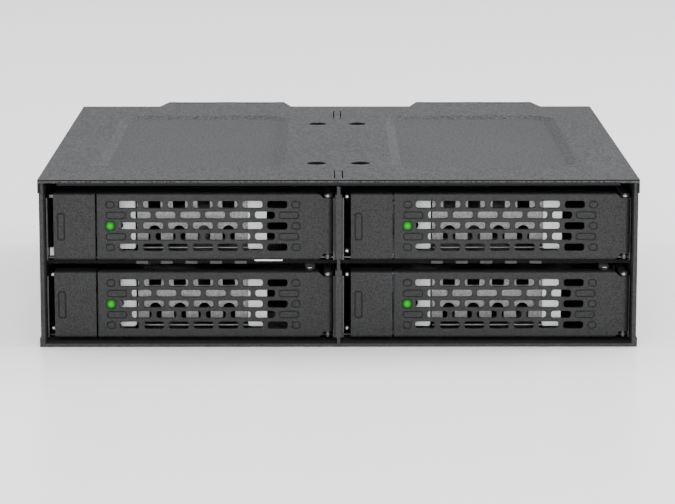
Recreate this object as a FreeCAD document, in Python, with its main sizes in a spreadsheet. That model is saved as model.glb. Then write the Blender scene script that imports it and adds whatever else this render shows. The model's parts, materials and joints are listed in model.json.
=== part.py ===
"""Hot swap drive cage for a half-height 5.25 inch bay.

Four sliding trays for 2.5 inch drives stand two by two in a folded steel cage.  Each
tray has a perforated lever door with a side latch button.  A backplane and two 40 mm
fans close the rear.  Frame: +Z up, the trays face -Y, origin at the centre of the base.
"""
import FreeCAD, Part
import math
import os
import re
import Sketcher

SIZES = {
    # The folded cage: two covers, two walls, a divider and two shelves.
    "cage_width": 146.0,
    "cage_height": 41.3,
    "cage_depth": 138.0,
    "cover_sheet": 0.8,
    "wall_sheet": 1.0,
    "flange_proud": 0.3,
    "flange_drop": 3.3,
    "flange_rise": 2.2,
    "lip_inset": 4.7,
    "lip_height": 0.6,
    "lip_depth": 4.0,
    "seam_groove": 0.15,
    "seam_depth": 0.5,
    "divider_sheet": 0.8,
    "hem_sheet": 0.4,
    "hem_depth": 4.0,
    "hem_low_gap": 1.5,
    "hem_high_gap": 0.4,
    "shelf_sheet": 0.9,
    "shelf_setback": 8.0,
    "shelf_tab_length": 8.0,
    "shelf_tab_first": 20.0,
    "shelf_tab_rear": 18.0,
    # The pressed panels, slits and screws of the top cover.
    "panel_inner": 13.4,
    "panel_side_inset": 12.6,
    "panel_front": 20.0,
    "panel_rear_inset": 20.0,
    "panel_press": 0.8,
    "panel_slope": 2.5,
    "panel_corner": 8.0,
    "slit_gap": 1.95,
    "slit_width": 0.3,
    "slit_front": 2.7,
    "slit_front_end": 15.3,
    "slit_rear_inset": 27.0,
    "slit_end_inset": 10.3,
    "cover_screw_spacing": 11.0,
    "cover_screw_front": 27.6,
    "cover_screw_inset": 37.1,
    "screw_flange_reach": 9.0,
    "screw_flange_length": 12.0,
    "flat_head": 2.5,
    "screw_radius": 1.5,
    "screw_length": 3.0,
    "hole_clearance": 0.1,
    # Side and bottom screw holes of a 5.25 inch drive.
    "bay_hole": 1.5,
    "bay_hole_rear": 11.4,
    "bay_hole_spacing": 79.2,
    "bay_hole_height": 10.0,
    "bay_hole_rise": 11.8,
    "base_hole_inset": 3.15,
    # Trays.
    "tray_headroom": 3.3,
    "tray_recess": 3.0,
    "tray_sheet": 0.35,
    "slide_gap": 0.15,
    "drop_gap": 0.3,
    "floor_drop": 0.2,
    "front_gap": 0.5,
    "front_side_gap": 2.2,
    "chassis_inset": 11.0,
    "rail_start": 3.0,
    "rail_height": 9.0,
    "cheek_length": 10.0,
    "cheek_short": 0.7,
    "drive_hole": 1.75,
    "drive_hole_rear": 13.1,
    "drive_hole_spacing": 76.6,
    "drive_hole_width": 61.72,
    "floor_slot_width": 22.0,
    "floor_slot_pitch": 28.0,
    "floor_slot_inset": 32.0,
    # Lever door.
    "door_sheet": 1.0,
    "door_return": 3.4,
    "return_sheet": 0.8,
    "door_corner_bend": 0.6,
    "seam": 0.3,
    "notch_height": 1.2,
    "notch_width": 2.4,
    "slot_first": 18.2,
    "slot_last_inset": 13.64,
    "slot_bar": 1.23,
    "row_bar": 0.88,
    "row_border": 2.9,
    "slot_corner": 0.45,
    "light_left": 13.8,
    "light_side": 2.1,
    "light_collar": 0.4,
    "hook_reach": 1.0,
    "hook_depth": 4.4,
    "latch_gap": 0.15,
    # Hinge.
    "hinge_inset": 1.3,
    "pin_radius": 0.6,
    "pin_clearance": 0.08,
    "ear_radius": 0.95,
    "ear_sheet": 0.6,
    "ear_gap": 0.15,
    "bracket_sheet": 0.5,
    # Latch button.
    "button_width": 10.2,
    "button_depth": 5.6,
    "button_wall": 0.8,
    "button_travel": 1.5,
    "stem_width": 2.0,
    "stem_height": 1.2,
    "stem_left": 4.2,
    "stem_rise": 5.0,
    "stem_play": 0.2,
    "stem_head": 0.8,
    "grip_left": 1.1,
    "grip_width": 1.9,
    "grip_height": 6.7,
    "grip_groove": 0.25,
    "leaf_sheet": 0.25,
    "leaf_height": 4.0,
    # Vent bracket behind the door.
    "plate_depth": 6.4,
    "pad_depth": 5.0,
    "pad_left": 15.7,
    "plate_left": 19.7,
    "plate_right_inset": 21.0,
    "pad_right_inset": 15.9,
    "plate_short": 1.5,
    "window_width": 3.0,
    # Backplane and its sockets and ports.
    "board_inset": 17.0,
    "board_sheet": 1.6,
    "board_gap": 0.3,
    "socket_depth": 6.5,
    "socket_width": 38.0,
    "socket_height": 6.0,
    "socket_rise": 1.0,
    "socket_slot": 2.4,
    "socket_offset": 5.2,
    "vent_width": 38.0,
    "vent_height": 7.0,
    "panel_sheet": 0.8,
    "panel_flange": 8.0,
    "port_proud": 0.6,
    "port_gap": 0.2,
    "data_long": 17.0,
    "data_short": 5.6,
    "data_pitch": 8.4,
    "power_gap": 3.45,
    "power_short": 5.8,
    "port_wall": 2.0,
    "key_slot": 2.4,
    "key_step": 2.0,
    "key_depth": 6.0,
    "port_rise": 18.3,
    "port_shift": 1.2,
    "post_radius": 2.5,
    "post_left_inset": 20.1,
    "post_right_inset": 9.0,
    "post_inset": 4.0,
    "pan_head": 2.4,
    "pan_height": 1.4,
    # Fans.
    "fan_top_gap": 0.1,
    "fan_base_gap": 0.4,
    "fan_depth": 10.0,
    "fan_corner": 1.6,
    "fan_wall": 1.2,
    "fan_left_inset": 40.9,
    "fan_right_inset": 33.2,
    "fan_hole_inset": 4.0,
    "fan_hole": 1.65,
    "hub_radius": 11.0,
    "hub_front": 0.8,
    "hub_length": 6.8,
    "motor_radius": 11.6,
    "motor_sheet": 1.4,
    "shaft_radius": 1.0,
    "shaft_clearance": 0.08,
    "blade_count": 7,
    "blade_sheet": 0.9,
    "blade_tip_gap": 0.9,
    "blade_reach": 3.1,
    "blade_rise": 2.6,
    "strut_width": 1.8,
    # Rear edge tongues of the top cover, over the fans.
    "tongue_base_inset": 1.1,
    "tongue_end_inset": 3.35,
    "tongue_notch_start": 3.0,
    "tongue_notch_inset": 2.05,
    "tongue_notch_depth": 2.6,
    # Fan speed switch.
    "switch_inset": 6.6,
    "switch_width": 6.0,
    "switch_height": 11.0,
    "switch_depth": 5.0,
    "switch_slot": 2.6,
    "switch_travel": 3.0,
    "knob_width": 2.0,
    "knob_length": 3.0,
    "knob_proud": 1.6,
    "cut_over": 1.0,
}
# Sizes that follow from the ones above, each as a formula of their names.
DRIVEN = {
    "bay_width": "cage_width/2 - flange_proud - wall_sheet - divider_sheet/2 - hem_sheet",
    "shelf_tab_pitch": "(cage_depth - shelf_tab_rear)/3",
    "panel_outer": "cage_width/2 - panel_side_inset",
    "panel_rear": "cage_depth - panel_rear_inset",
    "slit_rear": "cage_depth - slit_rear_inset",
    "slit_rear_end": "cage_depth - slit_end_inset",
    "cover_screw_rear": "cage_depth - cover_screw_inset",
    "bay_hole_front": "cage_depth - bay_hole_rear - bay_hole_spacing",
    "base_hole_spacing": "cage_width - 2*base_hole_inset",
    "tray_pitch": "(cage_height - 2*cover_sheet - shelf_sheet)/2",
    "front_width": "bay_width - front_gap - front_side_gap",
    "front_height": "tray_pitch - tray_headroom",
    "cheek_height": "front_height - cheek_short",
    "board_front": "cage_depth - board_inset",
    "chassis_length": "board_front - chassis_inset",
    "floor_slot_length": "chassis_length - 2*floor_slot_inset",
    "slot_pitch": "(front_width - slot_first - slot_last_inset)/6",
    "slot_length": "slot_pitch - slot_bar",
    "row_pitch": "(front_height - row_border)/5",
    "slot_height": "row_pitch - row_bar",
    "plate_right": "front_width - plate_right_inset",
    "pad_right": "front_width - pad_right_inset",
    "plate_height": "front_height - plate_short",
    "post_left": "cage_width/2 - post_left_inset",
    "post_right": "cage_width/2 - post_right_inset",
    "fan_side": "cage_height - cover_sheet - fan_top_gap - fan_base_gap",
    "fan_left": "fan_left_inset - cage_width/2",
    "fan_right": "cage_width/2 - fan_right_inset",
    "fan_bore": "fan_side/2 - fan_wall",
    "fan_hole_spacing": "fan_side - 2*fan_hole_inset",
    "blade_tip": "fan_bore - blade_tip_gap",
    "tongue_base": "fan_side - 2*tongue_base_inset",
    "tongue_end": "fan_side - 2*tongue_end_inset",
    "tongue_notch_end": "tongue_end/2 - tongue_notch_inset",
    "power_long": "fan_right - fan_left - fan_side - 2*power_gap",
    "switch_side": "cage_width/2 - switch_inset",
}
WORD = re.compile(r"\b(?:%s)\b" % "|".join([*SIZES, *DRIVEN]))
TURNS = {
    "x": FreeCAD.Rotation(FreeCAD.Vector(0, 1, 0), 90),
    "y": FreeCAD.Rotation(FreeCAD.Vector(1, 0, 0), -90),
    "z": FreeCAD.Rotation(),
}

doc = FreeCAD.newDocument("drive_cage")
sheet = doc.addObject("Spreadsheet::Sheet", "Sizes")
for row, (alias, size) in enumerate(SIZES.items(), start=1):
    sheet.set("A%d" % row, alias)
    sheet.set("B%d" % row, str(size))
    sheet.setAlias("B%d" % row, alias)
doc.recompute()

parts = {}


# ---------------------------------------------------------------- small helpers
def spell_out(formula, size):
    """A formula with each driven name written out and each size name as size gives it."""
    def swap(found):
        name = found.group()
        return "(%s)" % spell_out(DRIVEN[name], size) if name in DRIVEN else size(name)

    return WORD.sub(swap, formula)


def cells(formula):
    """Points each size name in a formula at its cell of the sheet."""
    return spell_out(formula, lambda name: "Sizes." + name)


def number(formula):
    """The present value of a formula, for the first guess of a sketch."""
    return FreeCAD.Units.Quantity(spell_out(formula, lambda name: str(SIZES[name]))).Value


def bind(item, name, formula):
    item.setExpression(name, cells(str(formula)))


def place(item, x=None, y=None, z=None):
    for letter, formula in zip("xyz", (x, y, z)):
        if formula is not None:
            bind(item, "Placement.Base." + letter, formula)
    return item


def block(name, x, y, z):
    """A box between two formulas along each axis."""
    item = doc.addObject("Part::Box", name)
    for side, letter, (low, high) in zip(("Length", "Width", "Height"), "xyz", (x, y, z)):
        bind(item, side, "(%s) - (%s)" % (high, low))
        bind(item, "Placement.Base." + letter, low)
    return item


def rod(name, axis, radius, length, x, y, z):
    """A cylinder that starts at x, y, z and runs along an axis."""
    item = doc.addObject("Part::Cylinder", name)
    bind(item, "Radius", radius)
    bind(item, "Height", length)
    item.Placement.Rotation = TURNS[axis]
    return place(item, x, y, z)


def prism(name, axis, sides, radius, length, x, y, z):
    """A rod with flat sides, for hexagonal posts and the heads and shanks of small screws."""
    item = doc.addObject("Part::Prism", name)
    item.Polygon = sides
    bind(item, "Circumradius", radius)
    bind(item, "Height", length)
    item.Placement.Rotation = TURNS[axis]
    return place(item, x, y, z)


def cone(name, low, high, height, x, y, z):
    item = doc.addObject("Part::Cone", name)
    bind(item, "Radius1", low)
    bind(item, "Radius2", high)
    bind(item, "Height", height)
    return place(item, x, y, z)


def fuse(name, pieces):
    item = doc.addObject("Part::MultiFuse", name)
    item.Shapes = pieces
    item.Refine = True
    return item


def group(name, pieces):
    """Identical loose pieces that share one node."""
    item = doc.addObject("Part::Compound", name)
    item.Links = pieces
    return item


def cut(name, base, tools):
    """Takes one or more tools out of a base."""
    item = doc.addObject("Part::Cut", name)
    item.Base = base
    item.Tool = tools[0] if len(tools) == 1 else group(name + "_tools", tools)
    item.Refine = True
    return item


def new_body(name):
    return doc.addObject("PartDesign::Body", name)


def sketch(body, name, role, level="0"):
    """A sketch on an origin plane of its own body, lifted along the plane's normal."""
    drawing = body.newObject("Sketcher::SketchObject", name)
    plane = next(item for item in body.Origin.OriginFeatures if item.Role == role)
    drawing.AttachmentSupport = [(plane, "")]
    drawing.MapMode = "FlatFace"
    bind(drawing, "AttachmentOffset.Base.z", level)
    return drawing


def pin_point(drawing, item, end, x, y):
    """Ties one end of a line to formulas for its two coordinates."""
    for kind, formula in (("DistanceX", x), ("DistanceY", y)):
        spot = drawing.addConstraint(Sketcher.Constraint(kind, -1, 1, item, end, number(formula)))
        bind(drawing, "Constraints[%d]" % spot, formula)


def polygon(drawing, corners):
    """A closed outline of straight lines with every corner tied to the sheet."""
    spots = [FreeCAD.Vector(number(x), number(y), 0) for x, y in corners]
    first = drawing.GeometryCount
    count = len(spots)
    for index in range(count):
        drawing.addGeometry(Part.LineSegment(spots[index], spots[(index + 1) % count]), False)
    for index in range(count):
        following = first + (index + 1) % count
        drawing.addConstraint(Sketcher.Constraint("Coincident", first + index, 2, following, 1))
        pin_point(drawing, first + index, 1, *corners[index])


def oblong(drawing, x, y, width, height, corner):
    """A rectangle about a centre, with its corners cut off."""
    right, top = "(%s)/2" % width, "(%s)/2" % height
    spots = [
        ("-%s" % right, "-%s + %s" % (top, corner)), ("-%s + %s" % (right, corner), "-%s" % top),
        ("%s - %s" % (right, corner), "-%s" % top), (right, "-%s + %s" % (top, corner)),
        (right, "%s - %s" % (top, corner)), ("%s - %s" % (right, corner), top),
        ("-%s + %s" % (right, corner), top), ("-%s" % right, "%s - %s" % (top, corner)),
    ]
    polygon(drawing, [("%s + (%s)" % (x, across), "%s + (%s)" % (y, up)) for across, up in spots])


def rectangle(drawing, x, y):
    polygon(drawing, [(x[0], y[0]), (x[1], y[0]), (x[1], y[1]), (x[0], y[1])])


def circle(drawing, x, y, radius):
    spot = FreeCAD.Vector(number(x), number(y), 0)
    ring = drawing.addGeometry(Part.Circle(spot, FreeCAD.Vector(0, 0, 1), number(radius)), False)
    pin_point(drawing, ring, 3, x, y)
    size = drawing.addConstraint(Sketcher.Constraint("Radius", ring, number(radius)))
    bind(drawing, "Constraints[%d]" % size, radius)


def rounded(drawing, x, y, radius):
    """A rectangle with tangent corner arcs."""
    left, right, low, high = [number(item) for item in (*x, *y)]
    bend = number(radius)
    normal = FreeCAD.Vector(0, 0, 1)
    quarter = math.pi / 2
    centres = ((right - bend, low + bend, 3), (right - bend, high - bend, 0),
               (left + bend, high - bend, 1), (left + bend, low + bend, 2))
    arcs = []
    for across, up, turn in centres:
        ring = Part.Circle(FreeCAD.Vector(across, up, 0), normal, bend)
        arcs.append(drawing.addGeometry(Part.ArcOfCircle(ring, turn * quarter, (turn + 1) * quarter), False))
    lines = []
    for index, arc in enumerate(arcs):
        start = drawing.getPoint(arc, 2)
        end = drawing.getPoint(arcs[(index + 1) % 4], 1)
        lines.append(drawing.addGeometry(Part.LineSegment(start, end), False))
    for index, line in enumerate(lines):
        drawing.addConstraint(Sketcher.Constraint("Tangent", arcs[index], 2, line, 1))
        drawing.addConstraint(Sketcher.Constraint("Tangent", line, 2, arcs[(index + 1) % 4], 1))
        kind = "Vertical" if index % 2 == 0 else "Horizontal"
        drawing.addConstraint(Sketcher.Constraint(kind, line))
        if index:
            drawing.addConstraint(Sketcher.Constraint("Equal", arcs[0], arcs[index]))
    size = drawing.addConstraint(Sketcher.Constraint("Radius", arcs[0], bend))
    bind(drawing, "Constraints[%d]" % size, radius)
    sides = (("DistanceX", lines[0], x[1]), ("DistanceX", lines[2], x[0]),
             ("DistanceY", lines[1], y[1]), ("DistanceY", lines[3], y[0]))
    for kind, line, formula in sides:
        spot = drawing.addConstraint(Sketcher.Constraint(kind, -1, 1, line, 1, number(formula)))
        bind(drawing, "Constraints[%d]" % spot, formula)


def pad(body, name, drawing, length, back=False):
    feature = body.newObject("PartDesign::Pad", name)
    feature.Profile = drawing
    bind(feature, "Length", length)
    feature.Reversed = back
    return feature


def pocket(body, name, drawing, length, back=False):
    feature = body.newObject("PartDesign::Pocket", name)
    feature.Profile = drawing
    bind(feature, "Length", length)
    feature.Reversed = back
    return feature


def edge_at(feature, x, y, z):
    """The name of the feature's edge whose middle is nearest to a point."""
    spot = FreeCAD.Vector(number(x), number(y), number(z))
    edges = feature.Shape.Edges
    spans = [edge.CenterOfMass.distanceToPoint(spot) for edge in edges]
    return "Edge%d" % (spans.index(min(spans)) + 1)


def row(body, name, feature, step, count):
    """Copies of a feature along the body's X axis."""
    pattern = body.newObject("PartDesign::LinearPattern", name)
    pattern.Originals = [feature]
    axis = next(item for item in body.Origin.OriginFeatures if item.Role == "X_Axis")
    pattern.Direction = (axis, [""])
    pattern.Occurrences = count
    bind(pattern, "Length", "(%s) * %d" % (step, count - 1))
    body.Tip = pattern
    return pattern


def ring(body, name, feature, role, count):
    """Copies of a feature round one of the body's axes."""
    pattern = body.newObject("PartDesign::PolarPattern", name)
    pattern.Originals = [feature]
    axis = next(item for item in body.Origin.OriginFeatures if item.Role == role)
    pattern.Axis = (axis, [""])
    pattern.Angle = 360
    pattern.Occurrences = count
    body.Tip = pattern
    return pattern


# ---------------------------------------------------------------- shared places
# The cage's own pieces are drawn with Y counted from the cage's front edge.
FRONT = "-(cage_depth + fan_depth)/2"
WALL_OUT = "(cage_width/2 - flange_proud)"
WALL_IN = "(cage_width/2 - flange_proud - wall_sheet)"
REBATE = "(cover_sheet - flange_proud)"
CEILING = "(cage_height - cover_sheet)"
HEM = "(divider_sheet/2 + hem_sheet)"
TRAY_LOW = "(cover_sheet + drop_gap + floor_drop + front_height/2)"
SHELF_TOP = "(cover_sheet + tray_pitch)"
SHELF_LOW = "(cover_sheet + tray_pitch - shelf_sheet)"
BOARD_BACK = "(board_front + board_sheet)"
SHEETS_END = "(board_front - pan_height - board_gap)"
PANEL_FRONT = "(cage_depth - panel_sheet)"
FAN_LEVEL = "(cage_height - cover_sheet - fan_top_gap - fan_side/2)"
FANS = {"fan_1": "fan_left", "fan_2": "fan_right"}
LEVER_LEFT = "(button_width + seam)"
PIN_SIDE = "(front_width - hinge_inset)"
BARREL_TOP = "(front_height/2 - notch_height)"
FLOOR_LOW = "(-front_height/2 - floor_drop)"
FLOOR_TOP = "(-front_height/2 - floor_drop + tray_sheet)"
CHASSIS_LEFT = "(front_width + front_gap + slide_gap - bay_width)"
CHASSIS_RIGHT = "(front_width + front_gap - slide_gap)"
CHASSIS_MIDDLE = "((%s + %s)/2)" % (CHASSIS_LEFT, CHASSIS_RIGHT)


def keep(name, item, x=None, y=FRONT, z=None):
    """Gives a finished sub-part its label and its place."""
    item.Label = name
    parts[name] = place(item, x, y, z)


# ---------------------------------------------------------------- the folded cage
def top_cover():
    body = new_body("top_cover")
    profile = sketch(body, "cover_profile", "XZ_Plane")
    side, inner = "cage_width/2", "(cage_width/2 - cover_sheet)"
    polygon(profile, [
        ("-" + side, "cage_height - flange_drop"), ("-" + inner, "cage_height - flange_drop"),
        ("-" + inner, CEILING), (inner, CEILING), (inner, "cage_height - flange_drop"),
        (side, "cage_height - flange_drop"), (side, "cage_height"), ("-" + side, "cage_height"),
    ])
    pad(body, "cover_sheet_pad", profile, "cage_depth", True)
    for index, (name, middle) in enumerate(FANS.items()):
        outline = sketch(body, name + "_tongue_outline", "XY_Plane", CEILING)
        half, end = "tongue_base/2", "tongue_end/2"
        back = "cage_depth + fan_depth"
        shallow = "cage_depth + fan_depth - tongue_notch_depth"
        shape = [(half, "cage_depth"), (end, back), ("tongue_notch_end", back),
                 ("tongue_notch_end", shallow), ("tongue_notch_start", shallow),
                 ("tongue_notch_start", back)]
        right = [("%s + %s" % (middle, across), up) for across, up in shape]
        left = [("%s - (%s)" % (middle, across), up) for across, up in reversed(shape)]
        polygon(outline, right + left)
        pad(body, name + "_tongue", outline, "cover_sheet")
    lip = sketch(body, "lip_outline", "XY_Plane", CEILING + " - lip_height")
    rectangle(lip, ("-cage_width/2 + lip_inset", "cage_width/2 - lip_inset"), ("0", "lip_depth"))
    pad(body, "front_lip", lip, "lip_height")
    for side, sign in (("left", "-1"), ("right", "1")):
        low, high = ("panel_inner", "panel_outer") if sign == "1" else ("-panel_outer", "-panel_inner")
        under = sketch(body, side + "_press_outline", "XY_Plane", CEILING)
        rounded(under, (low, high), ("panel_front", "panel_rear"), "panel_corner")
        boss = pad(body, side + "_press", under, "panel_press", True)
        bind(boss, "TaperAngle", "-atan(panel_slope/panel_press)")
        over = sketch(body, side + "_panel_outline", "XY_Plane", "cage_height")
        rounded(over, (low, high), ("panel_front", "panel_rear"), "panel_corner")
        dish = pocket(body, side + "_panel", over, "panel_press")
        bind(dish, "TaperAngle", "-atan(panel_slope/panel_press)")
    slits = sketch(body, "slit_outline", "XY_Plane", "cage_height")
    for sign in ("-", ""):
        near = sign + "(slit_gap/2 - slit_width/2)"
        far = sign + "(slit_gap/2 + slit_width/2)"
        across = (far, near) if sign else (near, far)
        rectangle(slits, across, ("slit_rear", "slit_rear_end"))
    outer, inner = "(slit_gap/2 + slit_width/2)", "(slit_gap/2 - slit_width/2)"
    rectangle(slits, ("-" + outer, outer), ("slit_rear_end + slit_width", "slit_rear_end + 2*slit_width"))
    polygon(slits, [
        ("-" + outer, "slit_front"), ("-" + inner, "slit_front"), ("-" + inner, "slit_front_end"),
        (inner, "slit_front_end"), (inner, "slit_front"), (outer, "slit_front"),
        (outer, "slit_front_end + slit_width"), ("-" + outer, "slit_front_end + slit_width"),
    ])
    pocket(body, "slits", slits, "cover_sheet")
    groove = sketch(body, "seam_outline", "XZ_Plane")
    rectangle(groove, ("-cage_width/2 + lip_inset - seam_groove", "cage_width/2 - lip_inset + seam_groove"),
              (CEILING, CEILING + " + seam_groove"))
    pocket(body, "lip_seam", groove, "seam_depth")
    sinks = []
    for index, (across, along) in enumerate(cover_screw_places()):
        sinks.append(cone("sink_%d" % index, "screw_radius + hole_clearance",
                          "flat_head + hole_clearance", "cover_sheet", across, along, CEILING))
    keep("top_cover", cut("cover_with_sinks", body, sinks))


def cover_screw_places():
    return [(sign + "cover_screw_spacing/2", along) for along in ("cover_screw_front", "cover_screw_rear")
            for sign in ("-", "")]


def bottom_cover():
    body = new_body("bottom_cover_body")
    profile = sketch(body, "base_profile", "XZ_Plane")
    side, inner = "cage_width/2", "(cage_width/2 - cover_sheet)"
    polygon(profile, [
        ("-" + side, "0"), (side, "0"), (side, "flange_rise"), (inner, "flange_rise"),
        (inner, "cover_sheet"), ("-" + inner, "cover_sheet"), ("-" + inner, "flange_rise"),
        ("-" + side, "flange_rise"),
    ])
    pad(body, "base_pad", profile, "cage_depth", True)
    holes = sketch(body, "base_holes", "XY_Plane", "cover_sheet")
    for sign in ("-", ""):
        for along in ("bay_hole_front", "bay_hole_front + bay_hole_spacing"):
            circle(holes, sign + "base_hole_spacing/2", along, "bay_hole")
    pocket(body, "base_hole_cut", holes, "cover_sheet")
    keep("bottom_cover", body)


def side_wall(name, sign):
    body = new_body(name + "_body")
    profile = sketch(body, name + "_profile", "XZ_Plane")
    inner, outer = WALL_IN, WALL_OUT
    shy = "(%s - %s)" % (WALL_OUT, REBATE)
    corners = [
        (inner, "cover_sheet"), (shy, "cover_sheet"), (shy, "flange_rise"), (outer, "flange_rise"),
        (outer, "cage_height - flange_drop"), (shy, "cage_height - flange_drop"),
        (shy, CEILING), (inner, CEILING),
    ]
    polygon(profile, [(sign + across, up) for across, up in corners])
    pad(body, name + "_pad", profile, "cage_depth", True)
    openings = sketch(body, name + "_openings", "YZ_Plane", sign + outer)
    for along in ("bay_hole_front", "bay_hole_front + bay_hole_spacing"):
        for up in ("bay_hole_height", "bay_hole_height + bay_hole_rise"):
            circle(openings, along, up, "bay_hole")
    for index in range(3):
        start = "shelf_tab_first + %d*shelf_tab_pitch" % index
        rectangle(openings, (start, start + " + shelf_tab_length"), (SHELF_LOW, SHELF_TOP))
    pocket(body, name + "_cut", openings, "wall_sheet", sign == "-")
    keep(name, body)


def centre_divider():
    half = "divider_sheet/2"
    core = block("divider_core", ("-" + half, half), ("0", SHEETS_END), ("cover_sheet", CEILING))
    pieces = [core]
    for index, low in enumerate(("cover_sheet", SHELF_TOP)):
        high = SHELF_LOW if index == 0 else "(cage_height - flange_drop)"
        hem = block("divider_hem_%d" % index, ("-" + HEM, HEM), ("0", "hem_depth"),
                    (low + " + hem_low_gap", high + " - hem_high_gap"))
        pieces.append(hem)
    for index, along in enumerate(("cover_screw_front", "cover_screw_rear")):
        ears = block("divider_flange_%d" % index, ("-screw_flange_reach", "screw_flange_reach"),
                     (along + " - screw_flange_length/2", along + " + screw_flange_length/2"),
                     (CEILING + " - divider_sheet", CEILING))
        pieces.append(ears)
    whole = fuse("divider_whole", pieces)
    tools = [block("divider_lip_notch", ("-cage_width", "cage_width"), ("-lip_depth", "lip_depth + drop_gap"),
                   (CEILING + " - lip_height - drop_gap", "cage_height"))]
    for index, (across, along) in enumerate(cover_screw_places()):
        tools.append(rod("divider_hole_%d" % index, "z", "screw_radius + hole_clearance/2",
                         "2*divider_sheet", across, along, CEILING + " - 1.5*divider_sheet"))
    for index in range(3):
        start = "shelf_tab_first + %d*shelf_tab_pitch" % index
        tools.append(block("divider_slot_%d" % index, ("-divider_sheet", "divider_sheet"),
                           (start, start + " + shelf_tab_length"), (SHELF_LOW, SHELF_TOP)))
    keep("centre_divider", cut("divider_cut", whole, tools))


def shelf(name, sign):
    pieces = []
    inner, outer = "divider_sheet/2", WALL_IN

    def across(low, high):
        return (low, high) if not sign else ("-" + high, "-" + low)

    pieces.append(block(name + "_sheet", across(inner, outer),
                        ("shelf_setback", SHEETS_END), (SHELF_LOW, SHELF_TOP)))
    for index in range(3):
        start = "shelf_tab_first + %d*shelf_tab_pitch" % index
        along = (start, start + " + shelf_tab_length")
        pieces.append(block("%s_outer_tab_%d" % (name, index), across(outer, "(cage_width/2)"),
                            along, (SHELF_LOW, SHELF_TOP)))
        pieces.append(block("%s_inner_tab_%d" % (name, index), across("0", inner),
                            along, (SHELF_LOW, SHELF_TOP)))
    keep(name, fuse(name + "_whole", pieces))


def cover_screws():
    screws = []
    for index, (across, along) in enumerate(cover_screw_places()):
        head = cone("flat_head_%d" % index, "screw_radius", "flat_head", "cover_sheet", across, along,
                    CEILING)
        shank = prism("flat_shank_%d" % index, "z", 6, "screw_radius", "screw_length - cover_sheet",
                      across, along, "cage_height - screw_length")
        screws.append(fuse("flat_screw_%d" % index, [head, shank]))
    keep("cover_screws", group("flat_screws", screws))


# ---------------------------------------------------------------- rear panel and backplane
DATA_MIDDLE = "((fan_left - fan_side/2 - %s)/2 - port_shift)" % WALL_IN
POWER_MIDDLE = "((fan_left + fan_right)/2)"


def data_places():
    return [("%s %s data_pitch/2" % (DATA_MIDDLE, sign), "%s %s port_rise/2" % (FAN_LEVEL, up))
            for up in ("-", "+") for sign in ("-", "+")]


def power_places():
    return [(POWER_MIDDLE, "%s %s port_rise/2" % (FAN_LEVEL, up)) for up in ("-", "+")]


def around(middle, size, gap="0"):
    return ("%s - (%s)/2 - %s" % (middle, size, gap), "%s + (%s)/2 + %s" % (middle, size, gap))


def fan_screw_places(middle):
    """Each fan is held by two screws, at opposite corners."""
    return [("%s %s fan_hole_spacing/2" % (middle, side), "%s %s fan_hole_spacing/2" % (FAN_LEVEL, side))
            for side in ("-", "+")]


def rear_panel():
    body = new_body("rear_panel_body")
    plate = sketch(body, "panel_outline", "XZ_Plane", "-" + PANEL_FRONT)
    rectangle(plate, ("-" + WALL_IN, WALL_IN), ("cover_sheet", CEILING))
    for name, middle in FANS.items():
        circle(plate, middle, FAN_LEVEL, "fan_bore")
        for across, up in fan_screw_places(middle):
            circle(plate, across, up, "fan_hole")
    for across, up in data_places():
        rectangle(plate, around(across, "data_short", "port_gap"), around(up, "data_long", "port_gap"))
    for across, up in power_places():
        rectangle(plate, around(across, "power_long", "port_gap"), around(up, "power_short", "port_gap"))
    rectangle(plate, around("switch_side", "switch_width", "port_gap"),
              around(FAN_LEVEL, "switch_height", "port_gap"))
    pad(body, "panel_plate", plate, "panel_sheet", True)
    flanges = sketch(body, "panel_flanges", "XZ_Plane", "-%s + panel_flange" % PANEL_FRONT)
    for side in ("-", ""):
        near, far = side + "(%s - panel_sheet)" % WALL_IN, side + WALL_IN
        across = (far, near) if side else (near, far)
        rectangle(flanges, across, ("flange_rise + cover_sheet", "cage_height - flange_drop - cover_sheet"))
    pad(body, "panel_flange_pad", flanges, "panel_flange", True)
    keep("rear_panel", body)


def post_places():
    """Two posts beside the data ports and two by the switch, clinched to the rear panel."""
    low, high = "(cover_sheet + post_inset)", "(%s - post_inset)" % CEILING
    return [(across, up) for across in ("-post_left", "post_right") for up in (low, high)]


def pan_screw(name, across, start, up, length, back=False):
    """A small screw along Y: its head starts at start, its shank lies behind it or before it."""
    shank_start = "%s - (%s)" % (start, length) if back else start + " + pan_height"
    head = prism(name + "_head", "y", 12, "pan_head", "pan_height", across, start, up)
    shank = prism(name + "_shank", "y", 6, "screw_radius", length, across, shank_start, up)
    return fuse(name, [head, shank])


def board_fixings():
    posts, screws = [], []
    for index, (across, up) in enumerate(post_places()):
        posts.append(prism("post_%d" % index, "y", 6, "post_radius",
                           "%s - %s" % (PANEL_FRONT, BOARD_BACK), across, BOARD_BACK, up))
        screws.append(pan_screw("board_screw_%d" % index, across, "board_front - pan_height", up,
                                "board_sheet"))
    keep("board_standoffs", group("board_posts", posts))
    keep("board_screws", group("board_screw_group", screws))


def tray_corner(column, level):
    """Where a tray's own origin lies: its front's left edge, front face and mid height."""
    across = "(%s - front_gap - front_width)" % (WALL_IN if column else "(-%s)" % HEM)
    return across, "(%s + %d*tray_pitch)" % (TRAY_LOW, level)


def socket_places():
    return [("%s + %s + socket_offset" % (across, CHASSIS_MIDDLE), up)
            for across, up in [tray_corner(column, level) for level in (1, 0) for column in (0, 1)]]


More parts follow.
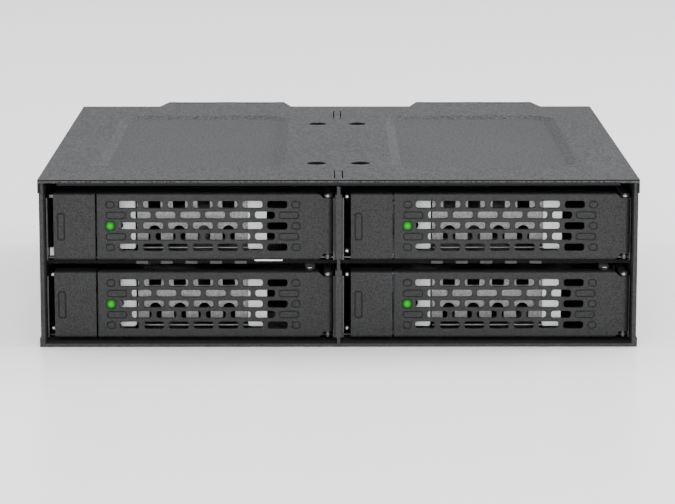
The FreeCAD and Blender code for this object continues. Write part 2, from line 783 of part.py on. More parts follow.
def backplane():
    body = new_body("backplane_body")
    outline = sketch(body, "board_outline", "XZ_Plane", "-board_front")
    rectangle(outline, ("-%s + board_gap" % WALL_IN, WALL_IN + " - board_gap"),
              ("cover_sheet + board_gap", CEILING + " - board_gap"))
    for across, up in socket_places():
        rectangle(outline, around(across, "vent_width"), around(up + " + front_height/4", "vent_height"))
    for across, up in post_places():
        circle(outline, across, up, "screw_radius + hole_clearance")
    pad(body, "board_pad", outline, "board_sheet", True)
    keep("backplane_board", body)


def socket_middle(up):
    """Mid height of a drive's own connector in a tray."""
    return "%s + %s + socket_rise + socket_height/2" % (up, FLOOR_TOP)


def drive_sockets():
    sockets = []
    for index, (across, up) in enumerate(socket_places()):
        middle = socket_middle(up)
        shell = block("socket_%d_shell" % index, around(across, "socket_width"),
                      ("board_front - socket_depth", "board_front"), around(middle, "socket_height"))
        mouth = block("socket_%d_mouth" % index, around(across, "socket_width - 4*socket_slot/3"),
                      ("board_front - socket_depth", "board_front - socket_depth/6"),
                      (middle + " - socket_slot/4", middle + " + 3*socket_slot/4"))
        tongue = block("socket_%d_tongue" % index, around(across, "socket_width - 6*socket_slot"),
                       ("board_front - socket_depth", "board_front - socket_depth/6"),
                       (middle + " - 3*socket_slot/4", middle + " - socket_slot/4"))
        sockets.append(cut("socket_%d" % index, shell, [mouth, tongue]))
    keep("drive_sockets", group("socket_group", sockets))


def ports():
    """Receptacles on the back of the board that stand out through the rear panel."""
    back = "cage_depth + port_proud"
    data = []
    for index, (across, up) in enumerate(data_places()):
        shell = block("data_%d_shell" % index, around(across, "data_short"), (BOARD_BACK, back),
                      around(up, "data_long"))
        slot = block("data_%d_slot" % index, around(across, "key_slot"),
                     (back + " - key_depth", back + " + cut_over"), around(up, "data_long - 2*port_wall"))
        key = block("data_%d_key" % index, (across, across + " + key_slot"),
                    (back + " - key_depth", back + " + cut_over"),
                    (up + " - data_long/2 + port_wall", up + " - data_long/2 + port_wall + key_step"))
        data.append(cut("data_%d" % index, shell, [slot, key]))
    keep("data_ports", group("data_group", data))
    power = []
    for index, (across, up) in enumerate(power_places()):
        shell = block("power_%d_shell" % index, around(across, "power_long"), (BOARD_BACK, back),
                      around(up, "power_short"))
        slot = block("power_%d_slot" % index, around(across, "power_long - 2*port_wall"),
                     (back + " - key_depth", back + " + cut_over"), around(up, "key_slot"))
        left = across + " - power_long/2 + port_wall"
        key = block("power_%d_key" % index, (left, left + " + key_step"),
                    (back + " - key_depth", back + " + cut_over"), (up, up + " + key_slot"))
        power.append(cut("power_%d" % index, shell, [slot, key]))
    keep("power_ports", group("power_group", power))


# ---------------------------------------------------------------- fans
def fan_frame(name, middle):
    """A square shell with a round duct, four corner holes, four struts and a motor seat."""
    body = new_body(name + "_frame_body")
    outline = sketch(body, name + "_outline", "XZ_Plane")
    oblong(outline, "0", "0", "fan_side", "fan_side", "fan_corner")
    circle(outline, "0", "0", "fan_bore")
    corners = [(side, up) for side in ("-", "") for up in ("-", "")]
    for side, up in corners:
        circle(outline, side + "fan_hole_spacing/2", up + "fan_hole_spacing/2", "fan_hole")
    pad(body, name + "_shell", outline, "fan_depth", True)
    seat = sketch(body, name + "_seat_outline", "XZ_Plane", "-fan_depth + motor_sheet")
    circle(seat, "0", "0", "motor_radius")
    pad(body, name + "_seat", seat, "motor_sheet", True)
    strut = sketch(body, name + "_strut_outline", "XZ_Plane", "-fan_depth + motor_sheet")
    rectangle(strut, ("hub_radius", "fan_bore + fan_corner/4"), ("-strut_width/2", "strut_width/2"))
    first = pad(body, name + "_strut", strut, "motor_sheet", True)
    ring(body, name + "_struts", first, "Y_Axis", 4)
    bore = sketch(body, name + "_bearing_outline", "XZ_Plane", "-fan_depth + motor_sheet")
    circle(bore, "0", "0", "shaft_radius + shaft_clearance")
    pocket(body, name + "_bearing", bore, "motor_sheet")
    steps = sketch(body, name + "_step_outline", "XZ_Plane", "-fan_depth")
    near, far = "(fan_hole_spacing/2 - pan_head - hole_clearance)", "(fan_side/2 + cut_over)"
    spans = {"": (near, far), "-": ("-" + far, "-" + near)}
    for side, up in corners:
        rectangle(steps, spans[side], spans[up])
    pocket(body, name + "_steps", steps, "pan_height", True)
    keep(name + "_frame", body, middle, FRONT + " + cage_depth", FAN_LEVEL)


def fan_rotor(name, middle):
    """A hub on a shaft, with a ring of pitched blades."""
    body = new_body(name + "_rotor_body")
    cup = sketch(body, name + "_cup_outline", "XZ_Plane", "-hub_front")
    circle(cup, "0", "0", "hub_radius")
    pad(body, name + "_cup", cup, "hub_length", True)
    shaft = sketch(body, name + "_shaft_outline", "XZ_Plane", "-hub_front - hub_length")
    circle(shaft, "0", "0", "shaft_radius")
    pad(body, name + "_shaft", shaft, "fan_depth - hub_front - hub_length - hole_clearance", True)
    edge = sketch(body, name + "_blade_outline", "YZ_Plane", "hub_radius - blade_sheet")
    middle_line = "(hub_front + hub_length/2)"
    polygon(edge, [
        (middle_line + " - blade_rise", "-blade_reach"),
        (middle_line + " - blade_rise + blade_sheet", "-blade_reach"),
        (middle_line + " + blade_rise", "blade_reach"),
        (middle_line + " + blade_rise - blade_sheet", "blade_reach"),
    ])
    blade = pad(body, name + "_blade", edge, "blade_tip - hub_radius + blade_sheet")
    ring(body, name + "_blades", blade, "Y_Axis", SIZES["blade_count"])
    keep(name + "_rotor", body, middle, FRONT + " + cage_depth", FAN_LEVEL)


def fan_screws():
    screws = []
    for name, middle in FANS.items():
        for index, (across, up) in enumerate(fan_screw_places(middle)):
            screws.append(pan_screw("%s_screw_%d" % (name, index), across,
                                    "cage_depth + fan_depth - pan_height", up,
                                    "fan_depth - pan_height", True))
    keep("fan_screws", group("fan_screw_group", screws))


def fan_switch():
    shell = block("switch_shell", around("switch_side", "switch_width"),
                  ("cage_depth - switch_depth", "cage_depth + port_proud"),
                  around(FAN_LEVEL, "switch_height"))
    slot = block("switch_slot_cut", around("switch_side", "switch_slot"),
                 ("cage_depth - switch_depth/2", "cage_depth + port_proud + cut_over"),
                 around(FAN_LEVEL, "knob_length + switch_travel", "port_gap"))
    keep("fan_switch_body", cut("switch_cut", shell, [slot]))
    knob = block("switch_knob", around("switch_side", "knob_width"),
                 ("cage_depth - switch_depth/2 + port_gap", "cage_depth + port_proud + knob_proud"),
                 around(FAN_LEVEL + " - switch_travel/2", "knob_length"))
    keep("fan_switch_knob", group("switch_knob_group", [knob]))


# ---------------------------------------------------------------- one tray, in its own frame
# X runs from the front's left edge, Y back from the front face, Z from mid height.
def chassis():
    left, right = CHASSIS_LEFT, CHASSIS_RIGHT
    pieces = [block("tray_floor", (left, right), ("button_depth + drop_gap", "chassis_length"),
                    (FLOOR_LOW, FLOOR_TOP))]
    sides = (("left", left, left + " + tray_sheet"), ("right", right + " - tray_sheet", right))
    for name, low, high in sides:
        pieces.append(block("tray_%s_rail" % name, (low, high), ("rail_start", "chassis_length"),
                            (FLOOR_LOW, FLOOR_LOW + " + rail_height")))
        pieces.append(block("tray_%s_cheek" % name, (low, high), ("rail_start", "rail_start + cheek_length"),
                            (FLOOR_LOW, FLOOR_LOW + " + cheek_height")))
    whole = fuse("chassis_folded", pieces)
    tools = []
    rear = "chassis_length - drive_hole_rear"
    for end, along in (("rear", rear), ("front", rear + " - drive_hole_spacing")):
        for side, sign in (("left", "-"), ("right", "+")):
            tools.append(rod("drive_hole_%s_%s" % (side, end), "z", "drive_hole", "3*tray_sheet",
                             "%s %s drive_hole_width/2" % (CHASSIS_MIDDLE, sign), along,
                             FLOOR_LOW + " - tray_sheet"))
    for index, sign in enumerate("-+"):
        middle = "%s %s floor_slot_pitch/2" % (CHASSIS_MIDDLE, sign)
        tools.append(block("floor_slot_%d" % index, around(middle, "floor_slot_width"),
                           around("chassis_length/2", "floor_slot_length"),
                           (FLOOR_LOW + " - tray_sheet", FLOOR_TOP + " + tray_sheet")))
    return cut("tray_chassis", whole, tools)


def front_bracket():
    """The joggled plate behind the door: latch guide, two pads and a punched vent."""
    body = new_body("tray_front_bracket")
    outline = sketch(body, "bracket_outline", "XY_Plane", FLOOR_TOP)
    start = "(%s + tray_sheet)" % CHASSIS_LEFT
    back, near = "plate_depth", "pad_depth"
    path = [(start, back), ("pad_left", back), ("pad_left", near), ("plate_left", near),
            ("plate_left", back), ("plate_right", back), ("plate_right", near), ("pad_right", near),
            ("pad_right", back)]
    thick = "bracket_sheet"
    rear = [("pad_right", back + " + " + thick), ("pad_right - " + thick, back + " + " + thick),
            ("pad_right - " + thick, near + " + " + thick), ("plate_right + " + thick, near + " + " + thick),
            ("plate_right + " + thick, back + " + " + thick), ("plate_left - " + thick, back + " + " + thick),
            ("plate_left - " + thick, near + " + " + thick), ("pad_left + " + thick, near + " + " + thick),
            ("pad_left + " + thick, back + " + " + thick), (start, back + " + " + thick)]
    polygon(outline, path + rear)
    pad(body, "bracket_pad", outline, "plate_height")
    windows = sketch(body, "bracket_windows", "XZ_Plane", "-plate_depth")
    for index in range(1, 5):
        middle = "slot_first + %d*slot_pitch" % index
        rectangle(windows, around(middle, "window_width"), ("1.5*row_pitch", "2.5*row_pitch"))
        rectangle(windows, around(middle, "window_width"), ("-1.5*row_pitch", "0.4*row_pitch"))
    for sign in ("-", ""):
        rectangle(windows, ("stem_left - button_travel - stem_play", "stem_left + stem_width + stem_play"),
                  around(sign + "stem_rise", "stem_height", "stem_play"))
    pocket(body, "bracket_window_cut", windows, "bracket_sheet")
    return body


def hinge_bracket():
    """A channel inside the right cheek whose two ears hold the hinge pin."""
    outer = "(%s - tray_sheet)" % CHASSIS_RIGHT
    inner = "(%s - ear_sheet)" % outer
    top = "(%s + ear_gap)" % BARREL_TOP
    web = block("hinge_web", (inner, outer), ("rail_start", "rail_start + cheek_length"),
                (FLOOR_TOP, top + " + ear_sheet"))
    pieces = [web]
    tools = []
    for name, low, high in (("low", "-%s - ear_sheet" % top, "-" + top), ("high", top, top + " + ear_sheet")):
        pieces.append(block("ear_%s" % name, (PIN_SIDE + " - ear_radius", inner),
                            ("hinge_inset - ear_radius", "rail_start + cheek_length"), (low, high)))
        tools.append(rod("ear_%s_hole" % name, "z", "pin_radius", "3*ear_sheet", PIN_SIDE, "hinge_inset",
                         low + " - ear_sheet"))
    return cut("tray_hinge_bracket", fuse("hinge_channel", pieces), tools)


def hinge_pin():
    top = "(%s + ear_gap + ear_sheet)" % BARREL_TOP
    pin = rod("hinge_pin_rod", "z", "pin_radius", "2*" + top, PIN_SIDE, "hinge_inset", "-" + top)
    return group("tray_hinge_pin", [pin])


def lever():
    """The perforated door: a folded plate with a hinge barrel, five slot rows and a hook."""
    body = new_body("tray_lever")
    face = sketch(body, "door_outline", "XZ_Plane")
    top, barrel = "front_height/2", BARREL_TOP
    slant = "(front_width - notch_width - notch_height)"
    polygon(face, [
        (LEVER_LEFT, "-" + top), (slant, "-" + top), ("front_width - notch_width", "-" + barrel),
        ("front_width", "-" + barrel), ("front_width", barrel), ("front_width - notch_width", barrel),
        (slant, top), (LEVER_LEFT, top),
    ])
    plate = pad(body, "door_plate", face, "door_sheet", True)
    doc.recompute()
    corner = body.newObject("PartDesign::Fillet", "door_corner")
    corner.Base = (plate, [edge_at(plate, "front_width", "0", "0")])
    bind(corner, "Radius", "door_corner_bend")
    returns = sketch(body, "door_return_outline", "XZ_Plane", "-door_sheet")
    for sign in ("-", ""):
        inner, outer = sign + "(%s - return_sheet)" % top, sign + top
        up = (outer, inner) if sign else (inner, outer)
        rectangle(returns, (LEVER_LEFT, slant), up)
    pad(body, "door_returns", returns, "door_return - door_sheet", True)
    stop = sketch(body, "hook_web_outline", "XZ_Plane", "-door_sheet")
    rectangle(stop, (LEVER_LEFT + " + hook_reach", LEVER_LEFT + " + hook_reach + return_sheet"),
              ("-%s + return_sheet" % top, top + " - return_sheet"))
    pad(body, "hook_web", stop, "hook_depth - door_sheet", True)
    lip = sketch(body, "hook_outline", "XZ_Plane", "-hook_depth + return_sheet")
    rectangle(lip, (LEVER_LEFT + " + latch_gap", LEVER_LEFT + " + hook_reach + return_sheet"),
              ("-row_pitch", "row_pitch"))
    pad(body, "hook_lip", lip, "return_sheet", True)
    barrel_round = sketch(body, "barrel_outline", "XY_Plane", "-" + barrel)
    circle(barrel_round, PIN_SIDE, "hinge_inset", "hinge_inset")
    pad(body, "hinge_barrel", barrel_round, "2*" + barrel)
    bore = sketch(body, "barrel_bore", "XY_Plane", barrel)
    circle(bore, PIN_SIDE, "hinge_inset", "pin_radius + pin_clearance")
    pocket(body, "barrel_bore_cut", bore, "2*" + barrel)
    odd = sketch(body, "odd_rows", "XZ_Plane")
    for level in (-2, 0, 2):
        oblong(odd, "slot_first", "%d*row_pitch" % level, "slot_length", "slot_height", "slot_corner")
    first = pocket(body, "odd_slots", odd, "door_sheet")
    row(body, "odd_slot_row", first, "slot_pitch", 7)
    even = sketch(body, "even_rows", "XZ_Plane")
    for level in (-1, 1):
        oblong(even, "slot_first + slot_pitch/2", "%d*row_pitch" % level, "slot_length", "slot_height",
               "slot_corner")
    second = pocket(body, "even_slots", even, "door_sheet")
    row(body, "even_slot_row", second, "slot_pitch", 6)
    light = sketch(body, "light_hole", "XZ_Plane")
    rectangle(light, around("light_left", "light_side"), around("0", "light_side"))
    pocket(body, "light_hole_cut", light, "door_sheet")
    return body


def light_lens():
    """A clear block in the door's light hole, with a collar behind the sheet."""
    front = block("lens_front", around("light_left", "light_side"), ("0", "door_sheet"),
                  around("0", "light_side"))
    collar = block("lens_collar", around("light_left", "light_side", "light_collar"),
                   ("door_sheet", "2*door_sheet"), around("0", "light_side", "light_collar"))
    return fuse("tray_light_lens", [front, collar])


def button():
    """The latch button: a hollow cap with a grip pad, a catch and two guided stems."""
    body = new_body("tray_button")
    top = "front_height/2"
    face = sketch(body, "button_outline", "XZ_Plane")
    rectangle(face, ("0", "button_width"), ("-" + top, top))
    pad(body, "button_cap", face, "button_depth", True)
    inside = sketch(body, "button_inside", "XZ_Plane", "-button_depth")
    rectangle(inside, ("button_wall", "button_width - button_wall"),
              ("-%s + button_wall" % top, top + " - button_wall"))
    pocket(body, "button_hollow", inside, "button_depth - door_sheet", True)
    stems = sketch(body, "stem_outline", "XZ_Plane", "-door_sheet")
    for sign in ("-", ""):
        rectangle(stems, ("stem_left", "stem_left + stem_width"), around(sign + "stem_rise", "stem_height"))
    pad(body, "stems", stems, "plate_depth + bracket_sheet + drop_gap - door_sheet", True)
    heads = sketch(body, "stem_head_outline", "XZ_Plane", "-plate_depth - bracket_sheet - drop_gap")
    for sign in ("-", ""):
        rectangle(heads, ("stem_left", "stem_left + stem_width"),
                  around(sign + "stem_rise", "stem_height + 2*stem_head"))
    pad(body, "stem_heads", heads, "stem_head", True)
    catch = sketch(body, "catch_outline", "XZ_Plane", "-door_sheet - hook_reach")
    rectangle(catch, ("button_width", "button_width + seam - latch_gap/3"), ("-row_pitch", "row_pitch"))
    pad(body, "catch", catch, "hook_reach", True)
    groove = sketch(body, "grip_outline", "XZ_Plane")
    left, right = "grip_left", "grip_left + grip_width"
    rectangle(groove, (left + " - grip_groove", right + " + grip_groove"),
              around("0", "grip_height", "grip_groove"))
    rectangle(groove, (left, right), around("0", "grip_height"))
    pocket(body, "grip_groove", groove, "grip_groove")
    return body


def button_spring():
    """A bent leaf on the bracket, drawn at the shape it has with the button pressed."""
    body = new_body("tray_button_spring")
    outline = sketch(body, "leaf_outline", "XY_Plane", "-leaf_height/2")
    back = "plate_depth"
    tip = "button_width - button_wall - button_travel - 2*stem_play"
    polygon(outline, [
        ("button_wall", back + " - leaf_sheet"), ("stem_left", back + " - leaf_sheet"),
        (tip, "hook_depth - leaf_sheet"), (tip, "hook_depth"),
        ("stem_left + leaf_sheet", back), ("button_wall", back),
    ])
    pad(body, "leaf", outline, "leaf_height")
    return body


def trays():
    """Four copies of the same tray, each piece linked from one master."""
    masters = {
        "chassis": chassis(), "front_bracket": front_bracket(), "hinge_bracket": hinge_bracket(),
        "hinge_pin": hinge_pin(), "lever": lever(), "light_lens": light_lens(), "button": button(),
        "button_spring": button_spring(),
    }
    places = [(column, level) for level in (1, 0) for column in (0, 1)]
    for index, (column, level) in enumerate(places, start=1):
        across, up = tray_corner(column, level)
        for piece, master in masters.items():
            name = "tray_%d_%s" % (index, piece)
            link = doc.addObject("App::Link", name)
            link.LinkedObject = master
            keep(name, link, across, FRONT + " + tray_recess", up)


def shape_of(item):
    if item.isDerivedFrom("App::Link"):
        return Part.getShape(item)
    return item.Shape


top_cover()
bottom_cover()
side_wall("left_wall", "-")
side_wall("right_wall", "")
centre_divider()
shelf("left_shelf", "-")
shelf("right_shelf", "")
cover_screws()
rear_panel()
backplane()
board_fixings()
drive_sockets()
ports()
for fan, fan_middle in FANS.items():
    fan_frame(fan, fan_middle)
    fan_rotor(fan, fan_middle)
fan_screws()
fan_switch()
trays()
doc.recompute()

for item in doc.Objects:
    if "Invalid" in item.State or "Error" in item.State:
        raise RuntimeError("%s did not build: %s" % (item.Name, item.State))
for name, item in parts.items():
    shape = shape_of(item)
    if shape.isNull() or not shape.isValid():
        raise RuntimeError("%s has no valid shape" % name)

os.makedirs("parts", exist_ok=True)
for name, item in parts.items():
    shape_of(item).exportStep("parts/%s.step" % name)
print(len(parts), "sub-parts written")
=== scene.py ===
"""Dresses the hot swap drive cage: painted steel, punched doors, lit lenses and fans."""
import json
from math import cos, pi, radians, sin

import bmesh
import bpy
from mathutils import Matrix, Vector


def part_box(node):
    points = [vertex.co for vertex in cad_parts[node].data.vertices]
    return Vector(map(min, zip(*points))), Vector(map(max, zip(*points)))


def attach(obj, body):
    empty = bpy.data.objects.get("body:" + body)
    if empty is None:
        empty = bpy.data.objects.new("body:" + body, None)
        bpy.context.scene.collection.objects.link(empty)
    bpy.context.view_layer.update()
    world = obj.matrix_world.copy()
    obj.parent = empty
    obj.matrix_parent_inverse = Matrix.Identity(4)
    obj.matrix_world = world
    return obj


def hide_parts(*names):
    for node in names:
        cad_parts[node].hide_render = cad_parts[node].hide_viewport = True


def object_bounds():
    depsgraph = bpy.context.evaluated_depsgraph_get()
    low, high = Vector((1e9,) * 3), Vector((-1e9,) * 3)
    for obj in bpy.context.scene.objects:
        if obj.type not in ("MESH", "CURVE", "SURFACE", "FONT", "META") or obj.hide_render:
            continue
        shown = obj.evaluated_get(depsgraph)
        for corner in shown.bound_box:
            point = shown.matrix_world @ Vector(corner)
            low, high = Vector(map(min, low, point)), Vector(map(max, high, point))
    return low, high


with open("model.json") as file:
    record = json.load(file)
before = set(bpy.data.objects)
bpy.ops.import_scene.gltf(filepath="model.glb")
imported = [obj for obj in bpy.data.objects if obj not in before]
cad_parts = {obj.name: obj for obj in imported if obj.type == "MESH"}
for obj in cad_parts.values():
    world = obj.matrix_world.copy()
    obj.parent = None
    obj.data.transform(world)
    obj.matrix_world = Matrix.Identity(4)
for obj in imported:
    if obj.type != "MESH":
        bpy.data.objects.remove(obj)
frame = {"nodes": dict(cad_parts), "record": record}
cad_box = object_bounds()

MM = 0.001
TRAYS = (1, 2, 3, 4)
TURN_UP = Matrix.Rotation(radians(90), 4, "X")

# A tray front in millimetres: u to the right, w up from mid height, d back from its face.
# FRONT_LIFT is how far the dressed fronts ride above the plain ones.
HALF_HEIGHT = 8.05
LOW_REACH = 0.35
FRONT_LIFT = 0.7
CAP_WIDTH = 10.15
DOOR_LEFT = 10.6
DOOR_RIGHT = 68.2
BARREL_TOP = 6.85
PIN_INSET = 1.3
BARREL_ROOT = 2.4
BORE_RADIUS = 0.68
EDGE_WALL = 0.8
SHEET = 1.0
RETURN_DEPTH = 3.4
SLOT_PITCH = 6.06
ROW_PITCH = 2.64
SLOT_FIRST = 18.2
DOT_LEFT = 13.8
LIGHT_SIDE = 2.3
VENT_DEPTH = 6.4
VENT_SHEET = 0.5
PAD_DEPTH = 5.0
EAR_SHEET = 0.6
# Fan blades (how far a tip leads its root, in radians), connector contacts and contact springs.
BLADE_SWEEP = 0.22
CONTACT_PITCH = 1.27
SPRING_DROP = 0.8
SPRING_HALF = 1.2
# What the trees of the screws and the doors are given.
SCREW_SIZES = ("Head Radius", "Head Height", "Recess Reach", "Recess Waist", "Recess Depth",
               "Sink Height", "Shank Radius", "Shank Length")
DOOR_VALUES = {"Thickness": SHEET, "Slot Length": 4.83, "Slot Height": 1.76, "Slot Corner": 0.62,
               "Slot Pitch": SLOT_PITCH, "Row Pitch": ROW_PITCH, "First Slot": SLOT_FIRST,
               "Mark Left": 15.2, "Mark Right": 57.35, "Dot Left": DOT_LEFT, "Dot Right": 59.1,
               "Dot Width": 2.05, "Light Side": LIGHT_SIDE, "Mark Depth": 0.35, "Mark Groove": 0.15}


# Node helpers.
def feed(tree, socket, value):
    """Links a socket to another one, or gives it a value."""
    if isinstance(value, bpy.types.NodeSocket):
        tree.links.new(value, socket)
    else:
        socket.default_value = value


def add_node(tree, kind, inputs=(), **values):
    """Adds a node, feeds its inputs by name and sets its other values by name."""
    node = tree.nodes.new(kind)
    for name, value in values.items():
        if hasattr(node, name):
            setattr(node, name, value)
        else:
            node.inputs[name.replace("_", " ")].default_value = value
    for name, value in dict(inputs).items():
        feed(tree, node.inputs[name], value)
    return node


def calc(tree, operation, *values):
    """A math node on sockets or numbers."""
    node = tree.nodes.new("ShaderNodeMath")
    node.operation = operation
    for socket, value in zip(node.inputs, values):
        feed(tree, socket, value)
    return node.outputs[0]


def paint(tree, shader, **channels):
    """Feeds the named channels of a shader."""
    for name, value in channels.items():
        feed(tree, shader.inputs[name.replace("_", " ")], value)


def new_material(name, colour, roughness, metallic=0.0):
    """A principled material with object coordinates ready for its patterns."""
    material = bpy.data.materials.new(name)
    material.use_nodes = True
    tree = material.node_tree
    shader = tree.nodes["Principled BSDF"]
    paint(tree, shader, Base_Color=(*colour, 1), Roughness=roughness, Metallic=metallic)
    place = tree.nodes.new("ShaderNodeTexCoord").outputs["Object"]
    return material, tree, shader, place


def noise(tree, place, grain_mm, detail=2.0):
    """Noise whose grains are about the given size in millimetres."""
    node = add_node(tree, "ShaderNodeTexNoise", {"Vector": place}, Scale=1 / (grain_mm * MM), Detail=detail)
    return node.outputs["Fac"]


def ramp(tree, value, stops):
    """Colours along a value; stops are (position, colour) pairs."""
    node = add_node(tree, "ShaderNodeValToRGB", {"Fac": value})
    elements = node.color_ramp.elements
    for element, (spot, colour) in zip(elements, stops):
        element.position = spot
        element.color = (*colour, 1)
    for spot, colour in stops[2:]:
        elements.new(spot).color = (*colour, 1)
    return node.outputs["Color"]


def bump(tree, shader, height, depth_mm, strength):
    """Lets a value raise the surface."""
    node = add_node(tree, "ShaderNodeBump", {"Height": height}, Distance=depth_mm * MM, Strength=strength)
    paint(tree, shader, Normal=node.outputs["Normal"])


def grey(level, tint=(1.0, 1.0, 1.0)):
    return tuple(level * part for part in tint)


def mixed(tree, factor, first, second, blend="MIX"):
    """Mixes two colours; each may be a socket or a colour."""
    node = tree.nodes.new("ShaderNodeMix")
    node.data_type = "RGBA"
    node.blend_type = blend
    for index, value in ((0, factor), (6, first), (7, second)):
        feed(tree, node.inputs[index], (*value, 1) if isinstance(value, tuple) else value)
    return node.outputs[2]


# Finishes.
def powder_coat(name, level, roughness, grain_mm=0.42, painted_edge_shade=None, gloss=0.25):
    """Dark textured paint: fine pebble grain, sparse light specks and faint clouding.

    The fifth argument holds two heights and a depth in metres: before that depth, the front edge is painted
    dark above the first height and below the second: painted shade for the shadow along the cover's front
    edge.
    """
    material, tree, shader, place = new_material(name, grey(level), roughness)
    tint = (0.97, 0.985, 1.04)
    grain = noise(tree, place, grain_mm, 3.0)
    shade = ramp(tree, grain, [(0.38, grey(level * 0.45, tint)), (0.6, grey(level * 1.75, tint))])
    clouds = ramp(tree, noise(tree, place, 45, 1.0), [(0.3, grey(0.92)), (0.7, grey(1.0))])
    shade = mixed(tree, 1.0, shade, clouds, "MULTIPLY")
    # Painted shade: darker bands along the front edge, standing in for its shadow.
    if painted_edge_shade:
        top_height, low_height, depth = painted_edge_shade
        split = add_node(tree, "ShaderNodeSeparateXYZ", {"Vector": place})
        before = calc(tree, "LESS_THAN", split.outputs["Y"], depth)
        for side, height, share in (("GREATER_THAN", top_height, 0.1), ("LESS_THAN", low_height, 0.12)):
            band = calc(tree, side, split.outputs["Z"], height)
            shade = mixed(tree, calc(tree, "MULTIPLY", band, before), shade, grey(level * share))
    rough = ramp(tree, noise(tree, place, grain_mm * 2),
                 [(0.3, grey(roughness - 0.04)), (0.7, grey(roughness + 0.06))])
    paint(tree, shader, Base_Color=shade, Roughness=rough, Specular_IOR_Level=gloss)
    bump(tree, shader, grain, 0.05, 0.45)
    return material


def plated_steel(name, level):
    """Plated sheet with fine level streaks."""
    material, tree, shader, place = new_material(name, (0.72, 0.73, 0.72), 0.32, 0.8)
    squeezed = add_node(tree, "ShaderNodeMapping", {"Vector": place}, Scale=(1.0, 1.0, 14.0))
    streaks = noise(tree, squeezed.outputs["Vector"], 0.9, 3.0)
    colour = ramp(tree, streaks, [(0.3, grey(level * 0.8)), (0.7, grey(level * 1.1))])
    rough = ramp(tree, streaks, [(0.3, grey(0.26)), (0.7, grey(0.4))])
    paint(tree, shader, Base_Color=colour, Roughness=rough)
    bump(tree, shader, streaks, 0.01, 0.3)
    return material


def galvanised_painted_shade():
    """Dull spangled sheet of the vent plates, with painted shade: darker towards the bottom and paler towards
    the top of its UV map.
    """
    material, tree, shader, place = new_material("galvanised_painted_shade", grey(0.5), 0.55, 0.2)
    spangle = noise(tree, place, 0.35)
    colour = ramp(tree, spangle, [(0.34, grey(0.20)), (0.66, grey(0.42))])
    sheet_place = tree.nodes.new("ShaderNodeUVMap").outputs["UV"]
    height = add_node(tree, "ShaderNodeSeparateXYZ", {"Vector": sheet_place}).outputs["Y"]
    level = add_node(tree, "ShaderNodeMapRange", {"Value": height}, To_Min=0.6, To_Max=1.25).outputs[0]
    shade = add_node(tree, "ShaderNodeCombineColor", {"Red": level, "Green": level, "Blue": level})
    paint(tree, shader, Base_Color=mixed(tree, 1.0, colour, shade.outputs[0], "MULTIPLY"))
    bump(tree, shader, spangle, 0.01, 0.3)
    return material


def speckled(name, colour, roughness, grain_mm, stops=None, metallic=0.0, relief=None, gloss=None,
             detail=2.0):
    """A finish whose colour and relief follow one fine noise; relief is a depth and a strength."""
    material, tree, shader, place = new_material(name, colour, roughness, metallic)
    grain = noise(tree, place, grain_mm, detail)
    if stops:
        paint(tree, shader, Base_Color=ramp(tree, grain, stops))
    if relief:
        bump(tree, shader, grain, *relief)
    if gloss is not None:
        paint(tree, shader, Specular_IOR_Level=gloss)
    return material


def lit_green():
    """A lit lens: bright green in the middle and deep green towards its rim."""
    material, tree, shader, place = new_material("lit_green", (0.0, 0.02, 0.0), 0.3)
    sheet_place = tree.nodes.new("ShaderNodeUVMap").outputs["UV"]
    centred = add_node(tree, "ShaderNodeMapping", {"Vector": sheet_place}, Location=(-1.0, -1.0, 0.0),
                       Scale=(2.0, 2.0, 1.0))
    ball = add_node(tree, "ShaderNodeTexGradient", {"Vector": centred.outputs["Vector"]},
                    gradient_type="SPHERICAL")
    glow = ramp(tree, ball.outputs["Fac"], [(0.12, (0.0, 0.02, 0.0)), (0.34, (0.0, 0.2, 0.0)),
                                            (0.8, (0.01, 1.0, 0.0))])
    paint(tree, shader, Emission_Color=glow, Emission_Strength=0.7, Specular_IOR_Level=0.1)
    bump(tree, shader, noise(tree, place, 0.4), 0.02, 0.2)
    return material


low, high = cad_box
# case_paint and cover_paint are one powder coat; the cover's copy is about three times lighter, painted light
# on the top, and carries painted shade on its front edge.
case_paint = powder_coat("case_paint", 0.0135, 0.6)
cover_paint = powder_coat("cover_paint", 0.037, 0.72, 0.5,
                          (high[2] - 0.3 * MM, high[2] - 0.85 * MM, low[1] + 0.1 * MM), 0.15)
front_paint = powder_coat("front_paint", 0.0115, 0.5, 0.36, gloss=0.18)
# zinc_plate is the plate's own tone; the two darker copies below stand in for shade: the half-shaded one on
# the top ear and rolled lip, the darkest on parts deep in shade.
zinc = plated_steel("zinc_plate", 0.55)
shaded_zinc = plated_steel("shaded_zinc", 0.06)
half_shaded_zinc = plated_steel("half_shaded_zinc", 0.2)
# A near-black copy of the coat for the shelves: painted shade for the dark gaps behind the fronts.
painted_shade_black = powder_coat("painted_shade_black", 0.006, 0.6, gloss=0.1)
vent_grey = galvanised_painted_shade()
lens_green = lit_green()
white_coat = speckled("pad_white", (0.95, 0.96, 0.97), 0.4, 0.6,
                      [(0.3, (0.93, 0.95, 0.96)), (0.7, (0.98, 0.985, 0.99))])
oxide = speckled("black_oxide", (0.006, 0.006, 0.007), 0.6, 0.3, relief=(0.01, 0.4), gloss=0.0)
plastic = speckled("moulded_black", (0.015, 0.016, 0.017), 0.42, 0.25,
                   [(0.35, grey(0.010)), (0.65, grey(0.021))], relief=(0.02, 0.35))
board_green = speckled("solder_mask", (0.01, 0.07, 0.035), 0.3, 0.5,
                       [(0.4, (0.006, 0.05, 0.024)), (0.6, (0.014, 0.085, 0.045))], relief=(0.01, 0.3))
gold = speckled("contact_gold", (0.8, 0.55, 0.2), 0.3, 0.2,
                [(0.3, (0.72, 0.48, 0.16)), (0.7, (0.86, 0.62, 0.26))], 1.0)
white_knob = speckled("knob_white", (0.7, 0.7, 0.67), 0.4, 0.3, relief=(0.01, 0.3))
